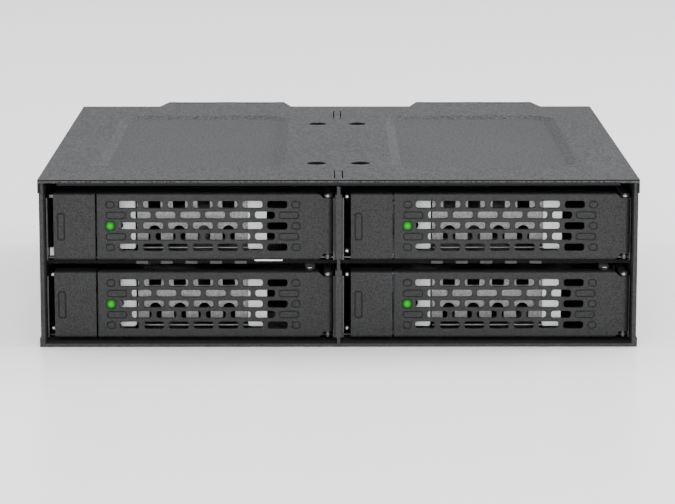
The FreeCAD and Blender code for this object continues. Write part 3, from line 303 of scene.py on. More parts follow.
# The dull brownish cut edge of the shelves.
cut_edge = speckled("bare_edge", (0.2, 0.19, 0.17), 0.5, 0.3,
                    [(0.3, (0.030, 0.027, 0.022)), (0.7, (0.075, 0.068, 0.056))], 0.3)
# Near-black green for the strips in the tongues' notches: painted shade for the gaps.
gap_shade_green = speckled("painted_gap_shade", (0.002, 0.012, 0.009), 0.5, 0.8,
                      [(0.3, (0.001, 0.008, 0.006)), (0.7, (0.003, 0.018, 0.013))], gloss=0.0)


def paint_cad_nodes():
    """Gives every CAD node its finish."""
    finishes = {"painted_steel": case_paint, "painted_front": front_paint, "plated_steel": zinc,
                "black_screw": oxide, "circuit_board": board_green, "black_plastic": plastic,
                "white_plastic": white_knob, "green_lens": lens_green}
    # The shelves take the near-black copy: painted shade. The top cover takes the lighter copy of the coat,
    # with its painted edge shade.
    own = {"top_cover": cover_paint, "left_shelf": painted_shade_black, "right_shelf": painted_shade_black}
    # The chassis, hinge pins and button springs take the darkest zinc copy: painted shade.
    own |= {"tray_%d_%s" % (number, part): shaded_zinc for number in TRAYS
            for part in ("chassis", "hinge_pin", "button_spring")}
    for entry in frame["record"]["subparts"]:
        mesh = frame["nodes"][entry["node"]].data
        mesh.materials.clear()
        mesh.materials.append(own.get(entry["node"], finishes[entry["material_slot"]]))


# Mesh helpers.
def keep_mesh(item, name):
    """The evaluated mesh of a helper object, which is then removed."""
    bpy.context.view_layer.update()
    shape = item.evaluated_get(bpy.context.evaluated_depsgraph_get())
    mesh = bpy.data.meshes.new_from_object(shape)
    mesh.name = name
    bpy.data.objects.remove(item)
    return mesh


def new_object(name, data):
    """An object put in the scene."""
    item = bpy.data.objects.new(name, data)
    bpy.context.scene.collection.objects.link(item)
    return item


def run_tree(data, tree, name, values):
    """Runs a node tree on a curve or mesh and gives back a plain mesh."""
    item = new_object("helper", data)
    modifier = item.modifiers.new("shape", "NODES")
    modifier.node_group = tree
    for socket in tree.interface.items_tree:
        if socket.in_out == "INPUT" and socket.name in values:
            modifier[socket.identifier] = values[socket.name]
    return keep_mesh(item, name)


def loops_curve(loops):
    """A curve object's data with one closed poly spline for each loop of (x, y) points."""
    data = bpy.data.curves.new("loops", "CURVE")
    data.dimensions = "2D"
    for loop in loops:
        spline = data.splines.new("POLY")
        spline.points.add(len(loop) - 1)
        for point, spot in zip(spline.points, loop):
            point.co = (spot[0], spot[1], 0, 1)
        spline.use_cyclic_u = True
    return data


def arc(centre, radius, start, end, steps=5):
    """Points on an arc; angles in degrees."""
    turns = [radians(start + (end - start) * step / steps) for step in range(steps + 1)]
    return [(centre[0] + radius * cos(turn), centre[1] + radius * sin(turn)) for turn in turns]


def rounded_box(left, right, bottom, top, radius, steps=4):
    """A rectangle with round corners."""
    corners = ((right - radius, bottom + radius, -90), (right - radius, top - radius, 0),
               (left + radius, top - radius, 90), (left + radius, bottom + radius, 180))
    return [spot for x, y, start in corners for spot in arc((x, y), radius, start, start + 90, steps)]


def soften(mesh, weight, width, steps=3):
    """Bevels the edges for which weight(edge) is above 0, in proportion to it."""
    form = bmesh.new()
    form.from_mesh(mesh)
    layer = form.edges.layers.float.new("bevel_weight_edge")
    for edge in form.edges:
        if len(edge.link_faces) == 2 and edge.calc_face_angle(0.0) > radians(40):
            edge[layer] = weight(edge)
    form.to_mesh(mesh)
    form.free()
    item = new_object("helper", mesh)
    modifier = item.modifiers.new("soften", "BEVEL")
    modifier.limit_method = "WEIGHT"
    modifier.width = width
    modifier.segments = steps
    modifier.use_clamp_overlap = False
    return keep_mesh(item, mesh.name)


def joined(name, meshes):
    """One mesh from several, with their materials kept."""
    whole = bmesh.new()
    materials = []
    for mesh in meshes:
        start = len(whole.faces)
        whole.from_mesh(mesh)
        whole.faces.ensure_lookup_table()
        materials += [material for material in mesh.materials if material not in materials]
        for face in whole.faces[start:]:
            face.material_index = materials.index(mesh.materials[face.material_index])
    result = bpy.data.meshes.new(name)
    whole.to_mesh(result)
    whole.free()
    for material in materials:
        result.materials.append(material)
    return result


def finished(form, name, material, crease=None):
    """The mesh of a bmesh with its finish, smooth where its angles are below crease in degrees."""
    mesh = bpy.data.meshes.new(name)
    form.to_mesh(mesh)
    form.free()
    mesh.materials.append(material)
    if crease:
        smooth(mesh, crease)
    return mesh


def smooth(mesh, crease):
    mesh.shade_smooth()
    mesh.set_sharp_from_angle(angle=radians(crease))


def bridged(form, rings):
    """Quads between rings of equal length and a cap on each end, all facing outwards."""
    for first, second in zip(rings, rings[1:]):
        for step in range(len(first)):
            after = (step + 1) % len(first)
            form.faces.new([first[step], first[after], second[after], second[step]])
    form.faces.new(rings[0])
    form.faces.new(rings[-1])
    bmesh.ops.recalc_face_normals(form, faces=form.faces[:])


def box_mesh(name, x, y, z, material, bevel=0.0):
    """A block between two values along each axis, with its edges eased."""
    form = bmesh.new()
    bmesh.ops.create_cube(form, size=1.0)
    for vert in form.verts:
        for axis, (start, end) in enumerate((x, y, z)):
            vert.co[axis] = start if vert.co[axis] < 0 else end
    if bevel:
        bmesh.ops.bevel(form, geom=form.edges[:], offset=bevel, segments=2, affect="EDGES", profile=0.5)
    return finished(form, name, material)


def turned(name, axis, profile, across, material, sides=24):
    """A profile of (radius, level) points turned about an axis through across."""
    form = bmesh.new()
    rings = []
    circle = [2 * pi * step / sides for step in range(sides)]
    for radius, level in profile:
        spots = [(radius * cos(turn), radius * sin(turn), level) for turn in circle]
        rings.append([form.verts.new(spot) for spot in (spots if radius else spots[:1])])
    for first, second in zip(rings, rings[1:]):
        for step in range(sides):
            after = (step + 1) % sides
            corners = [first[step % len(first)], first[after % len(first)],
                       second[after % len(second)], second[step % len(second)]]
            unique = list(dict.fromkeys(corners))
            if len(unique) > 2:
                form.faces.new(unique)
    bmesh.ops.recalc_face_normals(form, faces=form.faces[:])
    turns = {"y": Matrix.Rotation(radians(-90), 4, "X"), "x": Matrix.Rotation(radians(90), 4, "Y")}
    first, second = across
    shift = {"y": (first, 0, second), "x": (0, first, second)}
    form.transform(Matrix.Translation(shift[axis]) @ turns[axis])
    return finished(form, name, material, 35)


def stand_up(mesh, depth=0.0):
    """Turns a sheet drawn in u and w upright, with its face depth behind the tray's face."""
    mesh.transform(Matrix.Translation((0, depth, 0)) @ TURN_UP)
    return mesh


def add_piece(name, mesh, body, nodes=()):
    """Makes a mesh in millimetres a piece that rides on a body."""
    mesh.transform(Matrix.Scale(MM, 4))
    piece = new_object(name, mesh)
    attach(piece, body)
    if nodes:
        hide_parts(*nodes)


def span(node):
    """A CAD node's lowest and highest corner in millimetres."""
    return [Vector(spot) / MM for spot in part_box(node)]


def tray_origin(number):
    """The left edge, face and mid height of a tray's front."""
    corner, far = span("tray_%d_button" % number)
    return Vector((corner.x, corner.y, (corner.z + far.z) / 2))


def add_to_trays(name, mesh, body, node=None, trays=TRAYS):
    """Puts a copy of a mesh drawn about a tray's origin on each tray."""
    for number in trays:
        copy = mesh.copy()
        copy.transform(Matrix.Translation(tray_origin(number) + Vector((0, 0, FRONT_LIFT))))
        nodes = ["tray_%d_%s" % (number, node)] if node else []
        add_piece("%s_%d" % (name, number), copy, body % number, nodes)


# Punched sheets.
def new_tree(name, sizes):
    """A geometry tree with a curve input, number inputs and a finish."""
    tree = bpy.data.node_groups.new(name, "GeometryNodeTree")
    numbers = [(size, "INPUT", "Float") for size in sizes]
    for socket, side, kind in (("Outline", "INPUT", "Geometry"), *numbers, ("Finish", "INPUT", "Material"),
                               ("Sheet", "OUTPUT", "Geometry")):
        tree.interface.new_socket(socket, in_out=side, socket_type="NodeSocket" + kind)
    return tree, tree.nodes.new("NodeGroupInput").outputs, tree.nodes.new("NodeGroupOutput").inputs


def join_parts(tree, parts):
    """Several geometries as one."""
    whole = add_node(tree, "GeometryNodeJoinGeometry")
    for part in parts:
        tree.links.new(part, whole.inputs[0])
    return whole.outputs[0]


def shifted(tree, shape, **offset):
    """A geometry moved by X, Y or Z, each a socket or a number."""
    place = add_node(tree, "ShaderNodeCombineXYZ", offset)
    inputs = {"Geometry": shape, "Translation": place.outputs[0]}
    return add_node(tree, "GeometryNodeTransform", inputs).outputs[0]


def copies(tree, points, shape, **more):
    """A copy of a shape on each point."""
    inputs = {"Points": points, "Instance": shape, **more}
    return add_node(tree, "GeometryNodeInstanceOnPoints", inputs).outputs[0]


def thickened(tree, sheet, thickness):
    """A closed shell from a sheet of faces, drawn out along their normals."""
    raised = add_node(tree, "GeometryNodeExtrudeMesh", {"Mesh": sheet, "Offset Scale": thickness},
                      Individual=False)
    back = add_node(tree, "GeometryNodeFlipFaces", {"Mesh": sheet})
    whole = join_parts(tree, (raised.outputs["Mesh"], back.outputs[0]))
    return add_node(tree, "GeometryNodeMergeByDistance", {"Geometry": whole}, Distance=0.001).outputs[0]


def filled(tree, curve, level):
    """Fills closed curves at a level along Z."""
    fill = add_node(tree, "GeometryNodeFillCurve", {"Curve": curve}, mode="NGONS")
    return shifted(tree, fill.outputs[0], Z=level)


def thick_sheet(tree, curve, sheet):
    """A sheet whose face lies at level 0 and whose back lies a sheet's thickness below."""
    return thickened(tree, filled(tree, curve, calc(tree, "MULTIPLY", sheet, -1.0)), sheet)


def close_tree(tree, inputs, outputs, *parts):
    """Joins the parts, realizes their copies and gives them the finish."""
    real = add_node(tree, "GeometryNodeRealizeInstances", {"Geometry": join_parts(tree, parts)})
    painted = add_node(tree, "GeometryNodeSetMaterial", {"Geometry": real.outputs[0],
                                                         "Material": inputs["Finish"]})
    tree.links.new(painted.outputs[0], outputs["Sheet"])
    return tree


def plain_tree():
    """A flat sheet from its rim and its holes."""
    tree, inputs, outputs = new_tree("plain_sheet", ["Thickness"])
    return close_tree(tree, inputs, outputs, thick_sheet(tree, inputs["Outline"], inputs["Thickness"]))


def slot_shape(tree, width, height, corner):
    """A closed slot curve with rounded corners."""
    box = add_node(tree, "GeometryNodeCurvePrimitiveQuadrilateral", {"Width": width, "Height": height})
    soft = add_node(tree, "GeometryNodeFilletCurve", {"Curve": box.outputs[0], "Radius": corner},
                    mode="POLY", Count=5, Limit_Radius=True)
    return soft.outputs[0]


def slot_grid(tree, shape, counts, spans, centre):
    """Copies of a slot on a grid whose middle lies at centre along X."""
    grid = add_node(tree, "GeometryNodeMeshGrid", {"Size X": spans[0], "Size Y": spans[1]},
                    Vertices_X=counts[0], Vertices_Y=counts[1])
    slots = copies(tree, shifted(tree, grid.outputs["Mesh"], X=centre), shape)
    return add_node(tree, "GeometryNodeRealizeInstances", {"Geometry": slots}).outputs[0]


def door_tree():
    """The door's sheet: five staggered rows of slots, a light hole and grooved blind marks."""
    tree, inputs, outputs = new_tree("punched_door", DOOR_VALUES)
    pitch, corner = inputs["Slot Pitch"], inputs["Slot Corner"]

    def times(value, factor):
        return calc(tree, "MULTIPLY", value, factor)

    def inner(name):
        return calc(tree, "SUBTRACT", inputs[name], times(inputs["Mark Groove"], 2.0))

    def pair(shape, left, right, rows):
        centre = times(calc(tree, "ADD", left, right), 0.5)
        return slot_grid(tree, shape, (2, 2), (calc(tree, "SUBTRACT", right, left), rows), centre)

    def mark_set(long_shape, short_shape):
        return [pair(long_shape, inputs["Mark Left"], inputs["Mark Right"], two_rows),
                pair(short_shape, inputs["Dot Left"], inputs["Dot Right"], four_rows),
                slot_grid(tree, short_shape, (1, 1), (0.0, 0.0), inputs["Dot Right"])]

    slot, dot = (slot_shape(tree, inputs[width], inputs["Slot Height"], corner)
                 for width in ("Slot Length", "Dot Width"))
    inner_slot, inner_dot = (slot_shape(tree, inner(width), inner("Slot Height"), corner)
                             for width in ("Slot Length", "Dot Width"))
    light = slot_shape(tree, inputs["Light Side"], inputs["Light Side"], corner)
    middle = calc(tree, "MULTIPLY_ADD", pitch, 3.0, inputs["First Slot"])
    two_rows, four_rows = times(inputs["Row Pitch"], 2.0), times(inputs["Row Pitch"], 4.0)
    marks = mark_set(slot, dot)
    cuts = join_parts(tree, [inputs["Outline"],
                             slot_grid(tree, slot, (7, 3), (times(pitch, 6.0), four_rows), middle),
                             slot_grid(tree, slot, (6, 2), (times(pitch, 5.0), two_rows), middle),
                             *marks, slot_grid(tree, light, (1, 1), (0.0, 0.0), inputs["Dot Left"])])
    floors = [filled(tree, mark, times(inputs["Mark Depth"], -1.0)) for mark in marks]
    islands = [thick_sheet(tree, mark, inputs["Mark Depth"]) for mark in mark_set(inner_slot, inner_dot)]
    return close_tree(tree, inputs, outputs, thick_sheet(tree, cuts, inputs["Thickness"]), *floors, *islands)


def screw_tree():
    """Screws on the points of a mesh: a flat head with a cross recess, a sink and a shank."""
    tree, inputs, outputs = new_tree("screws_on_points", SCREW_SIZES)
    rim = add_node(tree, "GeometryNodeCurvePrimitiveCircle", {"Radius": inputs["Head Radius"]}, Resolution=28)
    cross = add_node(tree, "GeometryNodeCurveStar", {"Inner Radius": inputs["Recess Waist"],
                                                     "Outer Radius": inputs["Recess Reach"]}, Points=4)
    head = thick_sheet(tree, join_parts(tree, (rim.outputs[0], cross.outputs[0])), inputs["Head Height"])
    floor = filled(tree, cross.outputs[0], calc(tree, "MULTIPLY", inputs["Recess Depth"], -1.0))
    sink = add_node(tree, "GeometryNodeMeshCone", {"Radius Top": inputs["Shank Radius"],
                                                   "Radius Bottom": inputs["Head Radius"],
                                                   "Depth": inputs["Sink Height"]}, Vertices=28)
    upturned = add_node(tree, "GeometryNodeTransform", {"Geometry": sink.outputs["Mesh"]},
                        Rotation=(pi, 0, 0))
    shank = add_node(tree, "GeometryNodeMeshCylinder", {"Radius": inputs["Shank Radius"],
                                                        "Depth": inputs["Shank Length"]}, Vertices=16)
    drop = calc(tree, "MULTIPLY", inputs["Head Height"], -1.0)
    level = calc(tree, "MULTIPLY_ADD", inputs["Shank Length"], -0.5, drop)
    screw = join_parts(tree, (head, floor, shifted(tree, upturned.outputs[0], Z=drop),
                              shifted(tree, shank.outputs["Mesh"], Z=level)))
    return close_tree(tree, inputs, outputs, copies(tree, inputs["Outline"], screw))


def row_tree():
    """Equal copies of a small block along a line."""
    tree, inputs, outputs = new_tree("row_of_blocks", ["Width", "Depth", "Height", "Pitch", "Count"])
    size = add_node(tree, "ShaderNodeCombineXYZ", {"X": inputs["Width"], "Y": inputs["Depth"],
                                                   "Z": inputs["Height"]})
    block = add_node(tree, "GeometryNodeMeshCube", {"Size": size.outputs[0]})
    step = add_node(tree, "ShaderNodeCombineXYZ", {"X": inputs["Pitch"]})
    line = add_node(tree, "GeometryNodeMeshLine", {"Count": inputs["Count"], "Offset": step.outputs[0]})
    return close_tree(tree, inputs, outputs, copies(tree, line.outputs[0], block.outputs["Mesh"]))


def blade_tree():
    """A ring of cambered and twisted blades about Z."""
    tree, inputs, outputs = new_tree("fan_blades", ["Hub Radius", "Tip Radius", "Chord", "Hub Pitch",
                                                    "Tip Pitch", "Camber", "Thickness", "Count"])

    def sum_of(first, second):
        return calc(tree, "ADD", first, second)

    def less(first, second):
        return calc(tree, "SUBTRACT", first, second)

    def times(first, second):
        return calc(tree, "MULTIPLY", first, second)

    def between(first, second):
        return sum_of(inputs[first], times(share, less(inputs[second], inputs[first])))

    grid = add_node(tree, "GeometryNodeMeshGrid", Vertices_X=13, Vertices_Y=13, Size_X=1.0, Size_Y=1.0)
    position = tree.nodes.new("GeometryNodeInputPosition").outputs[0]
    spot = add_node(tree, "ShaderNodeSeparateXYZ", {"Vector": position})
    share = sum_of(spot.outputs["X"], 0.5)
    radius, pitch = between("Hub Radius", "Tip Radius"), between("Hub Pitch", "Tip Pitch")
    along = times(spot.outputs["Y"], inputs["Chord"])
    lift = times(less(0.25, times(spot.outputs["Y"], spot.outputs["Y"])), inputs["Camber"])
    cosine, sine = calc(tree, "COSINE", pitch), calc(tree, "SINE", pitch)
    side = less(times(along, cosine), times(lift, sine))
    rise = sum_of(times(along, sine), times(lift, cosine))
    turn = sum_of(calc(tree, "DIVIDE", side, radius), times(share, BLADE_SWEEP))
    placed = add_node(tree, "ShaderNodeCombineXYZ", {"X": times(radius, calc(tree, "COSINE", turn)),
                                                     "Y": times(radius, calc(tree, "SINE", turn)), "Z": rise})
    bent = add_node(tree, "GeometryNodeSetPosition", {"Geometry": grid.outputs["Mesh"],
                                                      "Position": placed.outputs[0]})
    blade = thickened(tree, bent.outputs[0], inputs["Thickness"])
    seeds = add_node(tree, "GeometryNodeMeshLine", {"Count": inputs["Count"]}, Offset=(0, 0, 0))
    index = tree.nodes.new("GeometryNodeInputIndex").outputs[0]
    angle = calc(tree, "DIVIDE", times(index, 2 * pi), inputs["Count"])
    spin = add_node(tree, "ShaderNodeCombineXYZ", {"Z": angle})
    ring = copies(tree, seeds.outputs[0], blade, Rotation=spin.outputs[0])
    return close_tree(tree, inputs, outputs, ring)


plain_sheet = plain_tree()
screws_on_points = screw_tree()
row_of_blocks = row_tree()


def sheet_mesh(name, loops, thickness, material):
    """A flat sheet in its own plane, face at level 0, with every loop after the first a hole."""
    values = {"Thickness": thickness, "Finish": material}
    return run_tree(loops_curve(loops), plain_sheet, name, values)


def points_mesh(spots):
    mesh = bpy.data.meshes.new("points")
    mesh.from_pydata(spots, [], [])
    return mesh


def block_row(name, width, depth, height, pitch, count, start, material):
    """A row of blocks whose first one is centred on start."""
    values = {"Width": width, "Depth": depth, "Height": height, "Pitch": pitch, "Count": count,
              "Finish": material}
    mesh = run_tree(points_mesh([]), row_of_blocks, name, values)
    mesh.transform(Matrix.Translation(start))
    return mesh


def extruded(name, profile, start, ends, material):
    """A (d, w) profile drawn out along u from start to ends[index] for each of its points."""
    form = bmesh.new()
    near = [form.verts.new((start, d, w)) for d, w in profile]
    far = [form.verts.new((end, d, w)) for (d, w), end in zip(profile, ends)]
    bridged(form, [near, far])
    return finished(form, name, material)


def behind_face(edge):
    """Whether either end of an edge lies behind a sheet's face."""
    return min(vert.co.z for vert in edge.verts) < -0.001


def face_rims(edge):
    """Eases every edge of a sheet's face alike."""
    return 0.0 if behind_face(edge) else 1.0


# Doors.
BEND = 0.6
FLAT = HALF_HEIGHT - BEND
SLANT = DOOR_RIGHT - 3.6
FOLD_STEPS = 6


def fold(sign, depth):
    """The bent edge of a front: a quarter round and the return behind it."""
    bend = [(BEND - BEND * cos(turn), FLAT + BEND * sin(turn))
            for turn in (radians(90 * step / FOLD_STEPS) for step in range(FOLD_STEPS + 1))]
    inner = HALF_HEIGHT - EDGE_WALL
    profile = bend + [(depth, HALF_HEIGHT), (depth, inner), (SHEET, inner), (SHEET, FLAT)]
    drop = LOW_REACH if sign < 0 else 0.0
    return [(d, sign * w - drop) for d, w in profile]


def door_weight(edge):
    """Slot rims are eased most, the left end less and the folded edges not at all."""
    first, second = (vert.co for vert in edge.verts)
    if behind_face(edge):
        return 0.0
    if max(first.x, second.x) < DOOR_LEFT + 0.01:
        return 0.8
    if min(first.x, second.x) > SLANT + 0.5 or min(abs(first.y), abs(second.y)) > FLAT - 0.01:
        return 0.0
    return 1.0


def door_mesh():
    """A punched sheet with folded edges, a barrel rolled round the pin and a hook."""
    pin, root = DOOR_RIGHT - PIN_INSET, DOOR_RIGHT - BARREL_ROOT
    rim = [(DOOR_LEFT, -FLAT - LOW_REACH), (SLANT + BEND, -FLAT - LOW_REACH), (root, -BARREL_TOP),
           (root, BARREL_TOP), (SLANT + BEND, FLAT), (DOOR_LEFT, FLAT)]
    plate = run_tree(loops_curve([rim]), door_tree(), "plate", DOOR_VALUES | {"Finish": front_paint})
    parts = [stand_up(soften(plate, door_weight, 0.13))]
    for sign in (-1, 1):
        profile = fold(sign, RETURN_DEPTH)
        top = HALF_HEIGHT + (LOW_REACH if sign < 0 else 0.0)
        ends = [SLANT + (top - abs(w) if d < SHEET + 0.01 else 0) for d, w in profile]
        parts.append(extruded("fold", profile, DOOR_LEFT, ends, front_paint))
    curl = [(root, 0.0)] + arc((pin, PIN_INSET), PIN_INSET, -90, 166, 28)
    bore = arc((pin, PIN_INSET), BORE_RADIUS, 0, 345, 23)
    barrel = sheet_mesh("barrel", [curl, bore], 2 * BARREL_TOP, front_paint)
    barrel.transform(Matrix.Translation((0, 0, BARREL_TOP)))
    inner = HALF_HEIGHT - EDGE_WALL
    for name, across, deep, heights in (("hook_web", (11.5, 12.3), (SHEET, 4.4), (-inner - LOW_REACH, inner)),
                                        ("hook_lip", (10.65, 12.3), (3.6, 4.4), (-ROW_PITCH, ROW_PITCH))):
        parts.append(box_mesh(name, across, deep, heights, front_paint, 0.1))
    return joined("door", [*parts, barrel])


def light_mesh():
    """A softly domed square lens with a collar behind the door's sheet."""
    rings = ((0.02, 0.10), (0.35, 0.095), (0.6, 0.075), (0.8, 0.04), (0.93, 0.0), (1.0, -0.08),
             (1.0, -SHEET), (1.38, -SHEET), (1.38, -2 * SHEET), (0.02, -2 * SHEET))
    form = bmesh.new()
    levels = []
    side = LIGHT_SIDE / 2 - 0.01
    for share, level in rings:
        reach = side * share
        loop = rounded_box(-reach, reach, -reach, reach, 0.45 * reach, 5)
        levels.append([form.verts.new((DOT_LEFT + x, y, level)) for x, y in loop])
    bridged(form, levels)
    layer = form.loops.layers.uv.new("UVMap")
    for face in form.faces:
        for loop in face.loops:
            spot = loop.vert.co
            loop[layer].uv = (0.5 + (spot.x - DOT_LEFT) / (2.4 * side), 0.5 + spot.y / (2.4 * side))
    return stand_up(finished(form, "light", lens_green, 40))


# Latch buttons.
GRIP = (1.15, 2.5, -3.25, 2.95)
GROOVE = 0.25
CAP_DEPTH = 5.6
STEM = (4.2, 6.2)
STEM_RISE = 5.0


def cap_weight(edge):
    """The cap's two ends are eased fully, the groove's rim less and the folded edges not at all."""
    first, second = (vert.co for vert in edge.verts)
    if behind_face(edge) or min(abs(first.y), abs(second.y)) > FLAT - 0.01:
        return 0.0
    ends = max(first.x, second.x) < 0.01 or min(first.x, second.x) > CAP_WIDTH - 0.01
    return 1.0 if ends else 0.7


def button_mesh():
    """A hollow cap with bent edges, a grip pad in a groove, two stems and a catch."""
    left, right, low_grip, high_grip = GRIP
    rim = [(0, -FLAT - LOW_REACH), (CAP_WIDTH, -FLAT - LOW_REACH), (CAP_WIDTH, FLAT), (0, FLAT)]
    groove = rounded_box(left - GROOVE, right + GROOVE, low_grip - GROOVE, high_grip + GROOVE, 0.5)
    face = soften(sheet_mesh("face", [rim, groove], SHEET, front_paint), cap_weight, 0.2)
    grip = sheet_mesh("grip", [rounded_box(left, right, low_grip, high_grip, 0.3)], SHEET, front_paint)
    floor = sheet_mesh("groove_floor", [groove], SHEET - 2 * GROOVE, front_paint)
    parts = [stand_up(face), stand_up(soften(grip, face_rims, 0.1)), stand_up(floor, 2 * GROOVE)]
    for sign in (-1, 1):
        profile = fold(sign, CAP_DEPTH)
        parts.append(extruded("fold", profile, 0.0, [CAP_WIDTH] * len(profile), front_paint))
    inner = HALF_HEIGHT - EDGE_WALL
    blocks = [("side", (edge, edge + EDGE_WALL), (SHEET, CAP_DEPTH), (-inner - LOW_REACH, inner), 0.0)
              for edge in (0, CAP_WIDTH - EDGE_WALL)]
    for middle in (-STEM_RISE, STEM_RISE):
        blocks.append(("stem", STEM, (SHEET, 7.3), (middle - 0.6, middle + 0.6), 0.12))
        blocks.append(("head", STEM, (7.2, 8.0), (middle - 1.4, middle + 1.4), 0.2))
    blocks.append(("catch", (CAP_WIDTH - 0.1, CAP_WIDTH + 0.25), (2.0, 3.0), (-ROW_PITCH, ROW_PITCH), 0.05))
    for name, across, deep, heights, ease in blocks:
        parts.append(box_mesh(name, across, deep, heights, front_paint, ease))
    return joined("button_cap", parts)


# Vent plates.
PAD_LEFT = 15.7
PAD_LOW = -6.6
PAD_TOP = 6.6
PLATE_LEFT = 20.0
PLATE_RIGHT = 47.2
PLATE_LOW = -5.5
ARCH_SPRING = -2.42
WINDOW_HALF = 1.5
LIP_DEPTH = 5.0
LIP_RISE = -6.2


def spread_uv(mesh, bottom, top):
    """A UV map whose V runs from 0 at the bottom height to 1 at the top; the vent finish paints shade along
    it, darker towards the bottom.
    """
    layer = mesh.uv_layers.new(name="UVMap")
    for loop in mesh.loops:
        spot = mesh.vertices[loop.vertex_index].co
        layer.uv[loop.index].vector = (spot.x / 60, (spot.z - bottom) / (top - bottom))


def tray_span(part):
    """The corners of a part of the first tray, from that tray's origin."""
    return [spot - tray_origin(1) for spot in span("tray_1_" + part)]


def vent_meshes():
    """The plate behind a door with its windows and arches, and its two white pads."""
    corner, far = tray_span("front_bracket")
    top, bottom = far.z, corner.z - FRONT_LIFT
    sheets = [[rounded_box(0.4, PAD_LEFT + 0.4, bottom, top, 0.4)],
              [rounded_box(PLATE_LEFT, PLATE_RIGHT, PLATE_LOW, top, 0.4)]]
    for step in (1, 2, 3, 4):
        middle = SLOT_FIRST + step * SLOT_PITCH
        left, right = middle - WINDOW_HALF, middle + WINDOW_HALF
        sheets[1].append(rounded_box(left, right, 1.32 * ROW_PITCH, 2.4 * ROW_PITCH, 0.25))
        sheets[1].append(arc((middle, ARCH_SPRING), WINDOW_HALF, 0, 180, 12)
                         + [(left, PLATE_LOW + 0.35), (right, PLATE_LOW + 0.35)])
    for rise in (-STEM_RISE, STEM_RISE):
        sheets[0].append(rounded_box(2.5, 6.4, rise - 0.8, rise + 0.8, 0.2))
    parts = []
    for loops in sheets:
        sheet = soften(sheet_mesh("sheet", loops, VENT_SHEET, vent_grey), face_rims, 0.12, 2)
        parts.append(stand_up(sheet, VENT_DEPTH))
    lip_start = PLATE_LEFT + 0.2
    lip = [(0, lip_start), (0.3, lip_start), (0.3, PLATE_RIGHT), (0, PLATE_RIGHT)]
    # The rolled lip takes the half-shaded zinc copy: painted shade.
    parts.append(turned("rolled_lip", "x", lip, (LIP_DEPTH, LIP_RISE), half_shaded_zinc, 20))
    back = VENT_DEPTH + VENT_SHEET
    for step in (0.5, 4.5):
        end = SLOT_FIRST + step * SLOT_PITCH - 0.2
        for name, deep, heights in (("lip_arm", (LIP_DEPTH, back), (LIP_RISE - 0.2, LIP_RISE + 0.15)),
                                    ("lip_leg", (VENT_DEPTH, back), (bottom, PLATE_LOW + 0.2))):
            parts.append(box_mesh(name, (end, end + 0.5), deep, heights, zinc, 0.05))
    plates = joined("vent_plate", parts)
    spread_uv(plates, bottom, top)
    left_pad = [(PAD_LEFT, 6.2), *arc((PAD_LEFT, -0.7), 0.9, 90, -90, 10), (PAD_LEFT, PAD_LOW + 0.4),
                (PAD_LEFT + 0.4, PAD_LOW), (19.3, PAD_LOW), (19.65, PAD_LOW + 0.4), (19.65, 6.2),
                (19.3, PAD_TOP), (PAD_LEFT + 0.4, PAD_TOP)]
    pads = []
    for loop in (left_pad, rounded_box(PLATE_RIGHT, 51.9, PAD_LOW, PAD_TOP, 0.5)):
        pad = soften(sheet_mesh("pad", [loop], back - PAD_DEPTH, white_coat), face_rims, 0.25)
        pads.append(stand_up(pad, PAD_DEPTH))
    return plates, joined("vent_pads", pads)


def guide_mesh():
    """The pale latch guide that shows beside the first tray's button, and its upper stop."""
    guide = box_mesh("guide", (-1.5, -0.25), (5.7, 6.5), (-8.3, -6.3), white_coat, 0.15)
    stop = box_mesh("stop", (-1.5, -0.3), (5.7, 6.5), (6.1, 6.8), vent_grey, 0.1)
    spread_uv(stop, 0, 8)
    return joined("latch_guide", [guide, stop])


def rivet_mesh():
    """Two small rivets beside a button."""
    profile = [(0, 5.7), (0.3, 5.72), (0.5, 5.9), (0.55, 6.4), (0, 6.4)]
    return joined("latch_rivets", [turned("rivet", "y", profile, (-0.9, rise), zinc, 20)
                                   for rise in (-7.2, 6.3)])


def tab_mesh():
    """The pale pull tab under the first tray's door."""
    lip = box_mesh("lip", (48.9, 55.8), (1.5, 2.1), (-8.95, -8.1), white_coat, 0.2)
    stem = box_mesh("stem", (49.5, 55.2), (1.8, 6.4), (-8.95, -8.6), white_coat, 0.08)
    return joined("pull_tab", [lip, stem])


def hinge_mesh():
    """The channel in the right cheek with two round-nosed ears."""
    corner, far = tray_span("hinge_bracket")
    pin, reach = DOOR_RIGHT - PIN_INSET, 0.95
    nose = [*arc((pin, PIN_INSET), reach, 180, 360, 16), (far.x, 3.2), (far.x, far.y), (pin - reach, far.y)]
    bore = arc((pin, PIN_INSET), 0.62, 0, 345, 23)
    parts = []
    # The top ear takes the half-shaded zinc copy and the lower ear the darkest: painted shade.
    for level, finish in ((far.z, half_shaded_zinc), (corner.z + EAR_SHEET, shaded_zinc)):
        ear = soften(sheet_mesh("ear", [nose, bore], EAR_SHEET, finish), lambda edge: 1.0, 0.08, 2)
        ear.transform(Matrix.Translation((0, 0, level)))
        parts.append(ear)
    parts.append(box_mesh("web", (far.x - EAR_SHEET, far.x), (3.0, far.y), (corner.z, far.z), shaded_zinc, 0.1))
    return joined("hinge_ears", parts)


# Fans and screws.
def solids_of(node):
    """The lowest and highest corner, in millimetres, of each loose solid of a CAD node."""
    form = bmesh.new()
    form.from_mesh(frame["nodes"][node].data)
    bmesh.ops.remove_doubles(form, verts=form.verts[:], dist=1e-6)
    left = set(form.verts)
    boxes = []
    while left:
        island, edge = set(), [next(iter(left))]
        while edge:
            vert = edge.pop()
            if vert in island:
                continue
            island.add(vert)
            edge.extend(link.other_vert(vert) for link in vert.link_edges)
        left -= island
        boxes.append([Vector([pick(vert.co[axis] for vert in island) for axis in range(3)]) / MM
                      for pick in (min, max)])
    form.free()
    return sorted(boxes, key=lambda box: tuple(round(value, 2) for value in box[0]))


